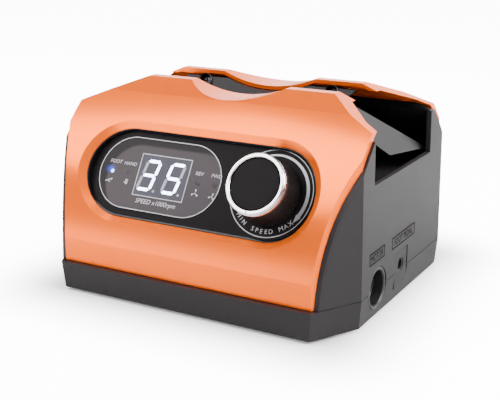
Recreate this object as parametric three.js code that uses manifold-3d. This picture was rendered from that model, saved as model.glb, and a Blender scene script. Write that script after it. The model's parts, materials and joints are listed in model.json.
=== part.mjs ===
// Desktop control unit for a rotary handpiece: two curved fascias on a dark shell and base tray,
// a sloping control panel with a two-digit display and a speed knob, a V-shaped handpiece cradle
// across the top, two sockets on the right side and a mains inlet with a rocker switch at the back.
//
// Units are millimetres. +X is to the right of the control panel, +Y to the back, +Z up.
// The origin is on the surface the feet stand on, under the middle of the unit.
import * as THREE from 'three';
import { ConvexGeometry } from 'three/addons/geometries/ConvexGeometry.js';
import { mergeVertices } from 'three/addons/utils/BufferGeometryUtils.js';
import Module from 'manifold-3d';

const wasm = await Module();
wasm.setup();

// ---- Driving dimensions -----------------------------------------------------------------------

// Overall size of the housing
const WIDTH = 148.6;
const DEPTH = 135.6;
const HEIGHT = 91.4;
const FOOT_HEIGHT = 1.5; // how far the rubber feet hold the base off the table
const TRAY_HEIGHT = 12.4; // base tray, from its underside to the parting line
const CORNER_WIDTH = 12.3; // the corner faces cut this much off the width on each side
const CORNER_DEPTH = 21.7; // and this much off the depth
const SIDE_DRAFT = 0.0002; // the side walls lean in by this share per millimetre of height
const TRAY_DRAFT = 0.0012; // the tray narrows towards its underside, same measure

// Walls and clearances
const GAP = 0.3; // clearance between neighbouring pieces
const CUT_PAST = 1; // cutters run this far past the face they open
const WELD = 1e-4; // points nearer than this are one
const ROUND_SEGMENTS = 24;
const MIDDLE_SEGMENTS = 20;
const SMALL_SEGMENTS = 12; // pins and screw shanks
const HEX_SIDES = 6;
const STADIUM_SEGMENTS = 10; // along each round end
const FASCIA_WALL = 3;
const SHELL_WALL = 2.4;
const TRAY_WALL = 2.5;
const FASCIA_EDGE_INSET = 1.2; // fascia edges stand this far inside the corner faces

// Fascia curve, seen from the side
const CURVE_LEAN = 4.6; // degrees off vertical at the parting line
const CURVE_LOWER_PULL = 34.7;
const CURVE_UPPER_PULL = 29.5;
const CURVE_UPPER_SLOPE = 37; // degrees above horizontal where it meets the bevel
const BEVEL_RUN = 12.7; // flat bevel between the curve and the rim
const BEVEL_RISE = 5.3;
const RIM_HALF_GAP = 11.8; // half the open width between the two rims
const RIM_WIDTH = 4.9;
const RIM_LIP = 1.8; // height of the rim's lip over the cradle wall
const CURVE_STEPS = 14;

// Fascia outline, seen from the front
const SHOULDER_X = 71.9;
const SHOULDER_DROP = 10.4; // shoulder below the rim
const RIM_HALF_WIDTH = 47;
const SCOOP_HALF_WIDTH = 23.8;
const SCOOP_DEPTH = 5.1;

// Control window and panel
const WINDOW_ALONG = 0.5; // share of the fascia's curve that carries the window centre
const WINDOW_SINK = 2.671; // window centre behind that point of the curve
const WINDOW_DROP = 0.013; // and below it
const WINDOW_LEAN = 1.773; // degrees the panel leans back past the curve there
const WINDOW_LENGTH = 112;
const WINDOW_BREADTH = 40;
const WINDOW_CHAMFER = 3;
const PANEL_RECESS = 4.07;
const PANEL_OVERLAP = 2.5; // panel hidden behind the fascia all round
const PANEL_THICKNESS = 2;
const LENS_LENGTH = 61.9;
const LENS_BREADTH = 32.3;
const LENS_OFFSET = -20.3; // lens centre from the window centre
const LENS_THICKNESS = 1;
const LENS_LEDGE = 1.2;
const DISPLAY_WIDTH = 25;
const DISPLAY_BREADTH = 19;
const DISPLAY_DEPTH = 7.3;
const DISPLAY_X = -18.25;
const LED_RADIUS = 1;
const LED_X = [-44.7, -36, -0.2, 8];
const TOUCH_X = [-40.4, 3.6];
const TOUCH_BELOW = 8; // touch springs below the LED row
const TOUCH_RADIUS = 2.2;
const TOUCH_WALL = 0.8;
const TOUCH_END = 1; // closed end on the board
const BOARD_THICKNESS = 1.6;
const DISPLAY_BOARD_BREADTH = 28;
const DISPLAY_BOARD_MARGIN = 4;

// Speed knob and its potentiometer
const KNOB_X = 34.8;
const KNOB_HEIGHT = 15;
const KNOB_LIFT = 1; // knob underside above the panel
const KNOB_FOOT_RADIUS = 13.7;
const KNOB_TOP_RADIUS = 13.1;
const KNOB_RING_WIDTH = 2.4;
const KNOB_RING_CHAMFER = 0.4;
const KNOB_RING_HEIGHT = 3.2;
const KNOB_CAP_DROP = 0.7;
const KNOB_CAP_THICKNESS = 1;
const SHAFT_RADIUS = 3;
const SHAFT_LENGTH = 21;
const BUSHING_WALL = 1.2;
const BUSHING_RADIUS = SHAFT_RADIUS + GAP + BUSHING_WALL;
const NUT_RADIUS = 7;
const NUT_HEIGHT = 2;
const POT_RADIUS = 8.5;
const POT_DEPTH = 9;
const POT_SHAFT_FLOOR = 2; // shaft's foot above the potentiometer's back
const KNOB_SEGMENTS = 36;

// Top deck, side notches and handpiece cradle
const DECK_TOP = 50; // above the base's underside
const DECK_THICKNESS = 2;
const NOTCH_SILL = 58;
const NOTCH_FRONT = -34.8;
const NOTCH_REAR = 29.9;
const BAY_HALF_WIDTH = 57; // compartment behind the control panel
const BAY_BACK = -28.5;
const CRADLE_SLOPE = 0.425; // sideways run of the V's wall per millimetre of height
const CRADLE_FLOOR = 64;
const CRADLE_WALL = 2.2;
const CRADLE_END_X = 45.5; // wall end at the rim
const CRADLE_WAIST_X = 40; // wall end where the wings start
const CRADLE_WAIST_DROP = 5.4;
const CRADLE_RIB_X = 24;
const CRADLE_SCREW_X = 33.1;
const CRADLE_SCREW_DROP = 5.6; // screw recess below the rim
const RECESS_RADIUS = 3.6;
const RECESS_DEPTH = 3;
const RECESS_WALL = 1.5; // boss round each recess
const RECESS_FLOOR = 2;
const RECESS_EMBED = 0.5; // the boss starts this far inside the V's wall
const CRADLE_SCREW_HEAD = 1.6;
const CRADLE_SCREW_REACH = 3; // shank past the recess floor
const CRADLE_CREASE_RUN = 3.5; // from the waist, the wall's end runs out this far
const CRADLE_CREASE_DROP = 9.7; // while it goes down this far, where the wing's lower edge starts
const CRADLE_RIB_FOOT = 12;
const CRADLE_RIB_REACH = 8; // ribs grip the V's walls this far above its floor
const WING_TIP_INSET = 3.7; // wing tip in from the housing's side
const WING_TIP_Y = 33.1;
const WING_TIP_RISE = 1.2; // wing tip above the sill
const WING_HEEL_X = 60;
const WING_HEEL_Y = 15.4;

// Sockets on the right side
const MOTOR_Y = -29;
const MOTOR_RADIUS = 9;
const MOTOR_WALL = 1.4;
const MOTOR_DEPTH = 18;
const MOTOR_BACK_WALL = 1.5;
const MOTOR_PIN_FLOOR = 1; // insert behind each pin
const MOTOR_INSERT_BACKSET = 12; // insert face behind the side wall
const MOTOR_PIN_RADIUS = 0.8;
const MOTOR_PIN_CIRCLE = 4.2;
const MOTOR_PIN_LENGTH = 5;
const MOTOR_PIN_COUNT = 4;
const JACK_Y = -2.6;
const JACK_PLATE_WIDTH = 14;
const JACK_PLATE_HEIGHT = 16.4;
const JACK_PLATE_BOTTOM = 4.8; // above the base's underside
const JACK_PLATE_THICKNESS = 2;
const JACK_BORE_RADIUS = 3.1;
const JACK_RISE = 1.6; // bore above the middle of the plate
const JACK_BODY = 11;
const JACK_LENGTH = 14;
const JACK_BACK_WALL = 2;

// Service pan in the back: inlet, fuse and rocker switch
const PAN_HALF_WIDTH = 36;
const PAN_BOTTOM = 18.5; // above the base's underside
const PAN_HEIGHT = 28;
const PAN_WALL = 1.8;
const PAN_FLOOR_BACKSET = 14.3; // pan floor in front of the housing's back
const INLET_X = 14;
const INLET_FLANGE = [30, 22];
const INLET_FLANGE_THICKNESS = 2;
const INLET_BACK_WALL = 2;
const INLET_CAVITY = [24, 16];
const INLET_DEPTH = 15;
const INLET_PIN_X = [-7, 0, 7];
const INLET_PIN = [2, 4];
const INLET_PIN_LENGTH = 9;
const FUSE_X = -11;
const FUSE_RADIUS = 6.5;
const FUSE_RIM = 1; // the cap stands this far past the body all round
const FUSE_CAP_HEIGHT = 5;
const FUSE_BODY_LENGTH = 16;
const SWITCH_X = -26;
const SWITCH_BEZEL = [13, 21];
const SWITCH_CAVITY = [8.6, 16.6];
const SWITCH_DEPTH = 12;
const SWITCH_WALL = 1.5;
const SWITCH_BEZEL_HEIGHT = 2;
const ROCKER_TILT = 10; // degrees either side of level
const ROCKER_WIDTH = 8;
const ROCKER_LENGTH = 15;
const ROCKER_CROWN = 3.2; // rocker's ends stand this far out from its pin
const ROCKER_DISH = 1.2;
const ROCKER_SHOULDER = 0.5;
const ROCKER_KEEL = 3;
const ROCKER_KEEL_TAPER = 2; // the keel is this much shorter than the face at each end
const ROCKER_PIN_RADIUS = 0.9;
const ROCKER_PIN_SINK = 1; // pin below the pan floor

// Feet and screws
const FOOT_RADIUS = 7;
const FOOT_SINK = 1; // foot recess in the tray's underside
const FOOT_INSET_X = 20;
const FOOT_INSET_Y = 16;
const BOSS_RADIUS = 4.5;
const BOSS_INSET = 6.6; // screw bosses in from the side walls
const BOSS_Y = 44;
const BOSS_TOP = 28;
const SCREW_RADIUS = 1.5;
const SCREW_HEAD_RADIUS = 3;
const SCREW_HEAD_HEIGHT = 2.2;
const SCREW_LENGTH = 16;

// Power supply and main board inside
const CORE_SIZE = [50, 22, 34];
const CORE_LIMB = 8;
const COIL_OVERHANG = 7; // winding past each face of the core
const TRANSFORMER_X = -34;
const TRANSFORMER_Y = 6;
const BRACKET_THICKNESS = 1.5;
const BRACKET_EAR = 9;
const MAIN_BOARD_SIZE = [54, 58];
const MAIN_BOARD_X = 25;
const MAIN_BOARD_Y = 14;
const STANDOFF_HEIGHT = 4;
const STANDOFF_RADIUS = 3;
const STANDOFF_INSET = 5;
const HEATSINK_SIZE = [40, 12, 24];
const HEATSINK_FINS = 6;
const FIN_SHARE = 0.5; // of the fin pitch
const HEATSINK_BASE = 4;
const CAPACITOR_RADIUS = 8;
const BOARD_SPACING = 2; // between parts on the board
const CAPACITOR_HEIGHT = 24;
const REGULATOR_SIZE = [10, 4.5, 15];
const REGULATOR_LEGS = 2; // height of its foot over the board

// ---- Derived places ---------------------------------------------------------------------------

const HALF_WIDTH = WIDTH / 2;
const HALF_DEPTH = DEPTH / 2;
const BASE_Z = FOOT_HEIGHT;
const PARTING_Z = BASE_Z + TRAY_HEIGHT;
const TRAY_FLOOR_Z = BASE_Z + TRAY_WALL;
const DECK_Z = BASE_Z + DECK_TOP;
const SILL_Z = BASE_Z + NOTCH_SILL;
const SHOULDER_Z = HEIGHT - SHOULDER_DROP;
const FAR = 2 * (WIDTH + DEPTH + HEIGHT); // longer than anything a cut must clear
const CUT_LENGTH = FAR / 4; // longer than any wall or seat that is cut
const NEAR_PAST = FAR / 40; // reaches past the cradle's wall but not across the V
const SOCKET_Z = PARTING_Z;
const PANEL_TOP = -PANEL_RECESS; // heights along the panel's outward normal
const PANEL_UNDER = PANEL_TOP - PANEL_THICKNESS;
const LENS_SEAT = PANEL_TOP - LENS_THICKNESS - GAP;
const BOARD_TOP = LENS_SEAT - DISPLAY_DEPTH - GAP;

// ---- Materials --------------------------------------------------------------------------------

function material(color, roughness, metalness) {
  return new THREE.MeshStandardMaterial({ color, roughness, metalness });
}

const ORANGE = material(0xe97a3c, 0.3, 0.1);
const DARK = material(0x2b292b, 0.5, 0);
const BLACK = material(0x0c0c0d, 0.7, 0);
const PANEL = material(0x343032, 0.35, 0);
const SMOKED = material(0x5c565a, 0.15, 0);
const CHROME = material(0xe0d8dc, 0.12, 1);
const STEEL = material(0x9a9ca0, 0.4, 1);
const BRASS = material(0xb59a56, 0.35, 1);
const RUBBER = material(0x151515, 0.9, 0);
const BOARD = material(0x1d5a34, 0.6, 0);
const COPPER = material(0xa8552c, 0.4, 0.8);
const ALUMINIUM = material(0xb4b6b8, 0.45, 0.9);
const SLEEVE = material(0x22304e, 0.4, 0);
const LIGHT = material(0xdfe8ff, 0.3, 0);

// ---- Solid helpers ----------------------------------------------------------------------------

function solid(geometry) {
  const bare = geometry.index ? geometry.toNonIndexed() : geometry.clone();
  bare.deleteAttribute('normal');
  bare.deleteAttribute('uv');
  const merged = mergeVertices(bare, WELD);
  return new wasm.Manifold(new wasm.Mesh({
    numProp: 3,
    vertProperties: new Float32Array(merged.attributes.position.array),
    triVerts: new Uint32Array(merged.index.array),
  }));
}

function geometryOf(manifold) {
  const mesh = manifold.getMesh();
  const geometry = new THREE.BufferGeometry();
  geometry.setAttribute('position', new THREE.BufferAttribute(new Float32Array(mesh.vertProperties), 3));
  geometry.setIndex(new THREE.BufferAttribute(new Uint32Array(mesh.triVerts), 1));
  geometry.computeVertexNormals();
  return geometry;
}

function join(...solids) {
  return solids.reduce((whole, next) => whole.add(next));
}

function cut(whole, ...tools) {
  return tools.reduce((rest, tool) => rest.subtract(tool), whole);
}

function common(...solids) {
  return solids.reduce((whole, next) => whole.intersect(next));
}

function shapeOf(points) {
  return new THREE.Shape(points.map(([x, y]) => new THREE.Vector2(x, y)));
}

function extruded(shape, length, curveSegments = SMALL_SEGMENTS) {
  return new THREE.ExtrudeGeometry(shape, { depth: length, bevelEnabled: false, curveSegments });
}

// An outline in X and Y, standing from z0 to z1
function alongZ(points, z0, z1) {
  return solid(extruded(shapeOf(points), z1 - z0).translate(0, 0, z0));
}

// An outline in Y and Z, running from x0 to x1
function alongX(points, x0, x1) {
  const geometry = extruded(shapeOf(points), x1 - x0).translate(0, 0, x0);
  const turn = new THREE.Matrix4().makeBasis(
    new THREE.Vector3(0, 1, 0),
    new THREE.Vector3(0, 0, 1),
    new THREE.Vector3(1, 0, 0),
  );
  return solid(geometry.applyMatrix4(turn));
}

// An outline in X and Z, running from y0 to y1
function alongY(points, y0, y1) {
  const geometry = extruded(shapeOf(points), y1 - y0).translate(0, 0, -y1);
  return solid(geometry.rotateX(Math.PI / 2));
}

function block([x0, x1], [y0, y1], [z0, z1]) {
  const geometry = new THREE.BoxGeometry(x1 - x0, y1 - y0, z1 - z0);
  return solid(geometry.translate((x0 + x1) / 2, (y0 + y1) / 2, (z0 + z1) / 2));
}

// A cylinder standing on [x, y, z], along +Z
function post(radius, length, [x, y, z], segments = ROUND_SEGMENTS) {
  const geometry = new THREE.CylinderGeometry(radius, radius, length, segments);
  return solid(geometry.rotateX(Math.PI / 2).translate(x, y, z + length / 2));
}

// A cylinder that starts at [x, y, z] and runs along +X
function rodX(radius, length, [x, y, z], segments = ROUND_SEGMENTS) {
  const geometry = new THREE.CylinderGeometry(radius, radius, length, segments);
  return solid(geometry.rotateZ(-Math.PI / 2).translate(x + length / 2, y, z));
}

// A cylinder that starts at [x, y, z] and runs along +Y
function rodY(radius, length, [x, y, z], segments = ROUND_SEGMENTS) {
  const geometry = new THREE.CylinderGeometry(radius, radius, length, segments);
  return solid(geometry.translate(x, y + length / 2, z));
}

// A closed profile of [radius, height] points, turned about Z
function turned(points, segments = KNOB_SEGMENTS) {
  const profile = points.map(([radius, height]) => new THREE.Vector2(radius, height));
  return solid(new THREE.LatheGeometry(profile, segments).rotateX(Math.PI / 2));
}

function mirrorY(manifold) {
  return manifold.mirror([0, 1, 0]);
}

function mirrorX(manifold) {
  return manifold.mirror([1, 0, 0]);
}

// ---- The object and its nodes -----------------------------------------------------------------

const unit = new THREE.Group();

function add(parent, name, manifold, meshMaterial) {
  const mesh = new THREE.Mesh(geometryOf(manifold), meshMaterial);
  mesh.name = name;
  parent.add(mesh);
  return mesh;
}

// ---- Housing envelopes ------------------------------------------------------------------------

// Corner faces are parallel to the line between these two half-sizes
const CORNER_SLANT = Math.hypot(CORNER_WIDTH, CORNER_DEPTH);

// The eight-sided plan, with every face moved in by inset
function planOutline(inset) {
  const side = HALF_WIDTH - inset;
  const front = HALF_DEPTH - inset;
  const slack = inset * CORNER_SLANT;
  const sideY = HALF_DEPTH - CORNER_DEPTH - (slack - inset * CORNER_DEPTH) / CORNER_WIDTH;
  const frontX = HALF_WIDTH - CORNER_WIDTH - (slack - inset * CORNER_WIDTH) / CORNER_DEPTH;
  return [
    [-frontX, -front], [frontX, -front], [side, -sideY], [side, sideY],
    [frontX, front], [-frontX, front], [-side, sideY], [-side, -sideY],
  ];
}

function tapered(geometry, fromZ, shareX, shareY) {
  const position = geometry.attributes.position;
  for (let i = 0; i < position.count; i += 1) {
    const rise = position.getZ(i) - fromZ;
    position.setX(i, position.getX(i) * (1 + shareX * rise));
    position.setY(i, position.getY(i) * (1 + shareY * rise));
  }
  return geometry;
}

function planPrism(inset, z0, z1) {
  const geometry = extruded(shapeOf(planOutline(inset)), z1 - z0).translate(0, 0, z0);
  return solid(tapered(geometry, PARTING_Z, -SIDE_DRAFT, 0));
}

function trayPrism(inset, z0, z1) {
  const geometry = extruded(shapeOf(planOutline(inset)), z1 - z0).translate(0, 0, z0);
  return solid(tapered(geometry, PARTING_Z, TRAY_DRAFT, TRAY_DRAFT));
}

// The rear half of the side view's curve, as [y, z] points from the parting line to the rim
const RIM_OUTER = RIM_HALF_GAP + RIM_WIDTH;
const CREASE = new THREE.Vector2(RIM_OUTER + BEVEL_RUN, HEIGHT - BEVEL_RISE);

function sideCurve() {
  const foot = new THREE.Vector2(HALF_DEPTH, PARTING_Z);
  const lean = THREE.MathUtils.degToRad(CURVE_LEAN);
  const slope = THREE.MathUtils.degToRad(CURVE_UPPER_SLOPE);
  const lower = new THREE.Vector2(-Math.sin(lean), Math.cos(lean)).multiplyScalar(CURVE_LOWER_PULL);
  const upper = new THREE.Vector2(Math.cos(slope), -Math.sin(slope)).multiplyScalar(CURVE_UPPER_PULL);
  return new THREE.CubicBezierCurve(foot, foot.clone().add(lower), CREASE.clone().add(upper), CREASE);
}

// The whole side view, with the curve moved in by inset along its normals
function sideOutline(inset) {
  const curve = sideCurve();
  const half = [[HALF_DEPTH - inset, 0]];
  for (let i = 0; i <= CURVE_STEPS; i += 1) {
    const point = curve.getPoint(i / CURVE_STEPS);
    const tangent = curve.getTangent(i / CURVE_STEPS);
    if (i === CURVE_STEPS) {
      tangent.add(new THREE.Vector2(-BEVEL_RUN, BEVEL_RISE).normalize()).normalize();
    }
    half.push([point.x - tangent.y * inset, point.y + tangent.x * inset]);
  }
  half.push([RIM_OUTER - inset / 2, HEIGHT - inset]);
  const other = half.map(([y, z]) => [-y, z]).reverse();
  return [...half, ...other];
}

function sideEnvelope(inset) {
  return alongX(sideOutline(inset), -FAR, FAR);
}

const SCOOP_RADIUS = (SCOOP_HALF_WIDTH ** 2 + SCOOP_DEPTH ** 2) / (2 * SCOOP_DEPTH);
const SCOOP_ANGLE = Math.asin(SCOOP_HALF_WIDTH / SCOOP_RADIUS);

// The front view above the parting line, with its top edges moved down by drop
function topOutline(drop) {
  const scoop = new THREE.EllipseCurve(
    0, HEIGHT - drop + (SCOOP_HALF_WIDTH ** 2 - SCOOP_DEPTH ** 2) / (2 * SCOOP_DEPTH),
    SCOOP_RADIUS, SCOOP_RADIUS, -Math.PI / 2 + SCOOP_ANGLE, -Math.PI / 2 - SCOOP_ANGLE, true,
  );
  const arc = scoop.getPoints(CURVE_STEPS).map((point) => [point.x, point.y]);
  const slope = SHOULDER_DROP / (SHOULDER_X - RIM_HALF_WIDTH);
  const reach = WIDTH;
  const low = SHOULDER_Z - drop - slope * (reach - SHOULDER_X);
  return [
    [-reach, -FAR], [reach, -FAR], [reach, low], [RIM_HALF_WIDTH, HEIGHT - drop],
    ...arc, [-RIM_HALF_WIDTH, HEIGHT - drop], [-reach, low],
  ];
}

function topEnvelope(drop, halfDepth = FAR) {
  return alongY(topOutline(drop), -halfDepth, halfDepth);
}

// ---- The control panel's own frame --------------------------------------------------------------

// Its X is the unit's X, its Y runs up the panel, its Z points out of it
const BEHIND_WINDOW = sideCurve().getPoint(WINDOW_ALONG);
const SLOPE_THERE = sideCurve().getTangent(WINDOW_ALONG).angle();
const PANEL_ANGLE = Math.PI - SLOPE_THERE - THREE.MathUtils.degToRad(WINDOW_LEAN);
const WINDOW_CENTRE = new THREE.Vector3(
  0, WINDOW_SINK - BEHIND_WINDOW.x, BEHIND_WINDOW.y - WINDOW_DROP,
);
const panelGroup = new THREE.Group();
panelGroup.position.copy(WINDOW_CENTRE);
panelGroup.rotation.x = PANEL_ANGLE;
unit.add(panelGroup);

function stadium(length, breadth, centreX = 0) {
  const radius = breadth / 2;
  const reach = length / 2 - radius;
  const shape = new THREE.Shape();
  shape.moveTo(centreX - reach, -radius);
  shape.lineTo(centreX + reach, -radius);
  shape.absarc(centreX + reach, 0, radius, -Math.PI / 2, Math.PI / 2, false);
  shape.lineTo(centreX - reach, radius);
  shape.absarc(centreX - reach, 0, radius, Math.PI / 2, 3 * Math.PI / 2, false);
  return shape;
}

function stadiumPrism(length, breadth, z0, z1, centreX = 0) {
  return solid(extruded(stadium(length, breadth, centreX), z1 - z0, STADIUM_SEGMENTS).translate(0, 0, z0));
}

// The panel's frame seen from the unit's frame, for cuts in the housing
function fromPanel(manifold) {
  const degrees = THREE.MathUtils.radToDeg(PANEL_ANGLE);
  return manifold.rotate([degrees, 0, 0]).translate(WINDOW_CENTRE.toArray());
}

// ---- Fascias ----------------------------------------------------------------------------------

const PAN_Z = [BASE_Z + PAN_BOTTOM, BASE_Z + PAN_BOTTOM + PAN_HEIGHT];

function panBlock(grow) {
  return block(
    [-PAN_HALF_WIDTH - grow, PAN_HALF_WIDTH + grow],
    [0, FAR],
    [PAN_Z[0] - grow, PAN_Z[1] + grow],
  );
}

function bothFascias() {
  const outer = common(
    planPrism(FASCIA_EDGE_INSET, PARTING_Z + GAP, HEIGHT + CUT_PAST),
    sideEnvelope(0),
    topEnvelope(0),
  );
  const slot = block([-FAR, FAR], [-RIM_HALF_GAP, RIM_HALF_GAP], [0, FAR]);
  const rebate = topEnvelope(RIM_LIP, RIM_HALF_GAP + RIM_WIDTH / 2);
  const inside = sideEnvelope(FASCIA_WALL);
  const betweenShoulders = block([-RIM_HALF_WIDTH, RIM_HALF_WIDTH], [-FAR, FAR], [0, FAR]);
  const underScoop = common(inside, topEnvelope(RIM_LIP));
  return cut(outer, underScoop, cut(inside, betweenShoulders), slot, rebate);
}

function windowCut() {
  const chamfer = new THREE.ExtrudeGeometry(stadium(WINDOW_LENGTH, WINDOW_BREADTH), {
    depth: FAR,
    curveSegments: STADIUM_SEGMENTS,
    bevelEnabled: true,
    bevelSegments: 1,
    bevelThickness: WINDOW_CHAMFER,
    bevelSize: WINDOW_CHAMFER,
  });
  return join(
    stadiumPrism(WINDOW_LENGTH, WINDOW_BREADTH, -CUT_LENGTH, CUT_LENGTH),
    solid(chamfer.translate(0, 0, WINDOW_CHAMFER / 2)),
  );
}

// Room for the panel's rim, from behind it up to height top
function panelSeat(top) {
  const length = WINDOW_LENGTH + 2 * (PANEL_OVERLAP + GAP);
  const breadth = WINDOW_BREADTH + 2 * (PANEL_OVERLAP + GAP);
  return stadiumPrism(length, breadth, PANEL_UNDER - SHELL_WALL, top);
}

function makeFascias() {
  const both = bothFascias();
  const front = common(both, block([-FAR, FAR], [-FAR, 0], [0, FAR]));
  const rear = common(both, block([-FAR, FAR], [0, FAR], [0, FAR]));
  const seat = panelSeat(PANEL_TOP + GAP);
  add(unit, 'front_fascia', cut(front, fromPanel(windowCut()), fromPanel(seat)), ORANGE);
  add(unit, 'rear_fascia', cut(rear, panBlock(GAP)), ORANGE);
}

// ---- Body shell -------------------------------------------------------------------------------

const SHELL_SKIN = FASCIA_WALL + GAP; // shell surface behind the fascia surface
const SHELL_INSIDE = SHELL_SKIN + SHELL_WALL;
const BOSS_X = HALF_WIDTH - BOSS_INSET;
const CORNERS = [[-1, -1], [1, -1], [1, 1], [-1, 1]];

function shellInterior(z0, z1) {
  return common(planPrism(SHELL_WALL, z0, z1), sideEnvelope(SHELL_INSIDE));
}

function motorHole(grow) {
  return rodX(MOTOR_RADIUS + grow, FAR, [0, MOTOR_Y, SOCKET_Z]);
}

function jackHole(grow) {
  const halfWidth = JACK_PLATE_WIDTH / 2 + grow;
  const bottom = BASE_Z + JACK_PLATE_BOTTOM;
  return block(
    [0, FAR],
    [JACK_Y - halfWidth, JACK_Y + halfWidth],
    [bottom - grow, bottom + JACK_PLATE_HEIGHT + grow],
  );
}

// Walls of the compartment that holds the display board and potentiometer above the deck
function bay() {
  const outside = block(
    [-BAY_HALF_WIDTH - SHELL_WALL, BAY_HALF_WIDTH + SHELL_WALL],
    [-HALF_DEPTH, BAY_BACK],
    [DECK_Z - DECK_THICKNESS, HEIGHT],
  );
  return common(outside, sideEnvelope(SHELL_SKIN), topEnvelope(RIM_LIP + GAP));
}

function bayInside() {
  const inside = block(
    [-BAY_HALF_WIDTH, BAY_HALF_WIDTH],
    [-HALF_DEPTH, BAY_BACK - SHELL_WALL],
    [0, HEIGHT],
  );
  return common(inside, sideEnvelope(SHELL_INSIDE), planPrism(SHELL_WALL, 0, HEIGHT));
}

function makeShell() {
  const bottom = PARTING_Z + GAP;
  const outer = common(
    planPrism(0, bottom, HEIGHT),
    sideEnvelope(SHELL_SKIN),
    topEnvelope(RIM_LIP + GAP),
  );
  const hollow = cut(
    outer,
    shellInterior(0, DECK_Z - DECK_THICKNESS),
    shellInterior(DECK_Z, CUT_LENGTH),
    block([-FAR, FAR], [-RIM_OUTER - BEVEL_RUN / 2, RIM_OUTER + BEVEL_RUN / 2], [SILL_Z, FAR]),
  );
  const bosses = CORNERS.map(([sx, sy]) => common(
    post(BOSS_RADIUS, BASE_Z + BOSS_TOP - bottom, [sx * BOSS_X, sy * BOSS_Y, bottom]),
    planPrism(SHELL_WALL / 2, 0, HEIGHT),
  ));
  const holes = CORNERS.map(([sx, sy]) => post(
    SCREW_RADIUS + GAP, SCREW_LENGTH, [sx * BOSS_X, sy * BOSS_Y, BASE_Z + FOOT_SINK],
  ));
  const notch = block([-FAR, FAR], [NOTCH_FRONT, NOTCH_REAR], [SILL_Z, FAR]);
  const walls = cut(hollow, notch);
  const shell = cut(
    join(walls, bay(), ...bosses),
    bayInside(),
    fromPanel(panelSeat(CUT_LENGTH)),
    motorHole(GAP),
    jackHole(GAP),
    panBlock(GAP),
    ...holes,
  );
  add(unit, 'body_shell', shell, DARK);
}

// ---- Base tray, feet and screws ---------------------------------------------------------------

const STANDOFFS = CORNERS.map(([sx, sy]) => [
  MAIN_BOARD_X + sx * (MAIN_BOARD_SIZE[0] / 2 - STANDOFF_INSET),
  MAIN_BOARD_Y + sy * (MAIN_BOARD_SIZE[1] / 2 - STANDOFF_INSET),
]);
const FOOT_X = HALF_WIDTH - FOOT_INSET_X;
const FOOT_Y = HALF_DEPTH - FOOT_INSET_Y;

function makeTray() {
  const body = cut(trayPrism(0, BASE_Z, PARTING_Z), trayPrism(TRAY_WALL, TRAY_FLOOR_Z, CUT_LENGTH));
  const bosses = CORNERS.map(([sx, sy]) => post(
    BOSS_RADIUS, TRAY_HEIGHT - TRAY_WALL / 2, [sx * BOSS_X, sy * BOSS_Y, BASE_Z + TRAY_WALL / 2],
  ));
  const standoffs = STANDOFFS.map(([x, y]) => post(
    STANDOFF_RADIUS, STANDOFF_HEIGHT + TRAY_WALL / 2, [x, y, BASE_Z + TRAY_WALL / 2], MIDDLE_SEGMENTS,
  ));
  const recesses = CORNERS.map(([sx, sy]) => post(
    FOOT_RADIUS + GAP, FOOT_SINK + CUT_PAST, [sx * FOOT_X, sy * FOOT_Y, BASE_Z - CUT_PAST],
  ));
  const headroom = SCREW_HEAD_HEIGHT + FOOT_SINK + GAP;
  const counterbores = CORNERS.map(([sx, sy]) => join(
    post(SCREW_HEAD_RADIUS + GAP, headroom + CUT_PAST, [sx * BOSS_X, sy * BOSS_Y, BASE_Z - CUT_PAST]),
    post(SCREW_RADIUS + GAP, CUT_LENGTH, [sx * BOSS_X, sy * BOSS_Y, BASE_Z - CUT_PAST]),
  ));
  const tray = cut(
    join(body, ...bosses, ...standoffs),
    ...recesses,
    ...counterbores,
    motorHole(GAP),
    jackHole(GAP),
  );
  add(unit, 'base_tray', tray, DARK);
}

const CORNER_NAMES = ['front_left', 'front_right', 'rear_right', 'rear_left'];

function makeFeetAndScrews() {
  CORNERS.forEach(([sx, sy], i) => {
    const foot = post(FOOT_RADIUS, FOOT_HEIGHT + FOOT_SINK - GAP, [sx * FOOT_X, sy * FOOT_Y, 0]);
    add(unit, `foot_${CORNER_NAMES[i]}`, foot, RUBBER);
    const at = [sx * BOSS_X, sy * BOSS_Y, BASE_Z + FOOT_SINK];
    const screw = join(
      post(SCREW_HEAD_RADIUS, SCREW_HEAD_HEIGHT, at, MIDDLE_SEGMENTS),
      post(SCREW_RADIUS, SCREW_LENGTH - GAP, at, SMALL_SEGMENTS),
    );
    add(unit, `base_screw_${CORNER_NAMES[i]}`, screw, STEEL);
  });
}

// ---- Handpiece cradle -------------------------------------------------------------------------

const CRADLE_TOP_Z = HEIGHT - RIM_LIP - GAP;
const CRADLE_LIP_Y = RIM_HALF_GAP - 2 * GAP; // face of the V's wall at its top
const WAIST_Z = CRADLE_TOP_Z - CRADLE_WAIST_DROP;
const WAIST_Y = vWallY(WAIST_Z);

function vWallY(z) {
  return CRADLE_LIP_Y - CRADLE_SLOPE * (CRADLE_TOP_Z - z);
}

// The V across the unit, wall and floor, before its ends are trimmed
function vSection() {
  const thick = CRADLE_WALL * Math.hypot(1, CRADLE_SLOPE);
  const floorZ = BASE_Z + CRADLE_FLOOR;
  const under = floorZ - CRADLE_WALL;
  const rear = [
    [vWallY(floorZ), floorZ], [CRADLE_LIP_Y, CRADLE_TOP_Z],
    [CRADLE_LIP_Y + thick, CRADLE_TOP_Z], [vWallY(under) + thick, under],
  ];
  const front = rear.map(([y, z]) => [-y, z]).reverse();
  return [...rear, ...front];
}

// The front view that trims the V's ends: in at the waist, out again below it
const CREASE_FOOT_X = CRADLE_WAIST_X + CRADLE_CREASE_RUN;
const CREASE_FOOT_Z = WAIST_Z - CRADLE_CREASE_DROP;

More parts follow.
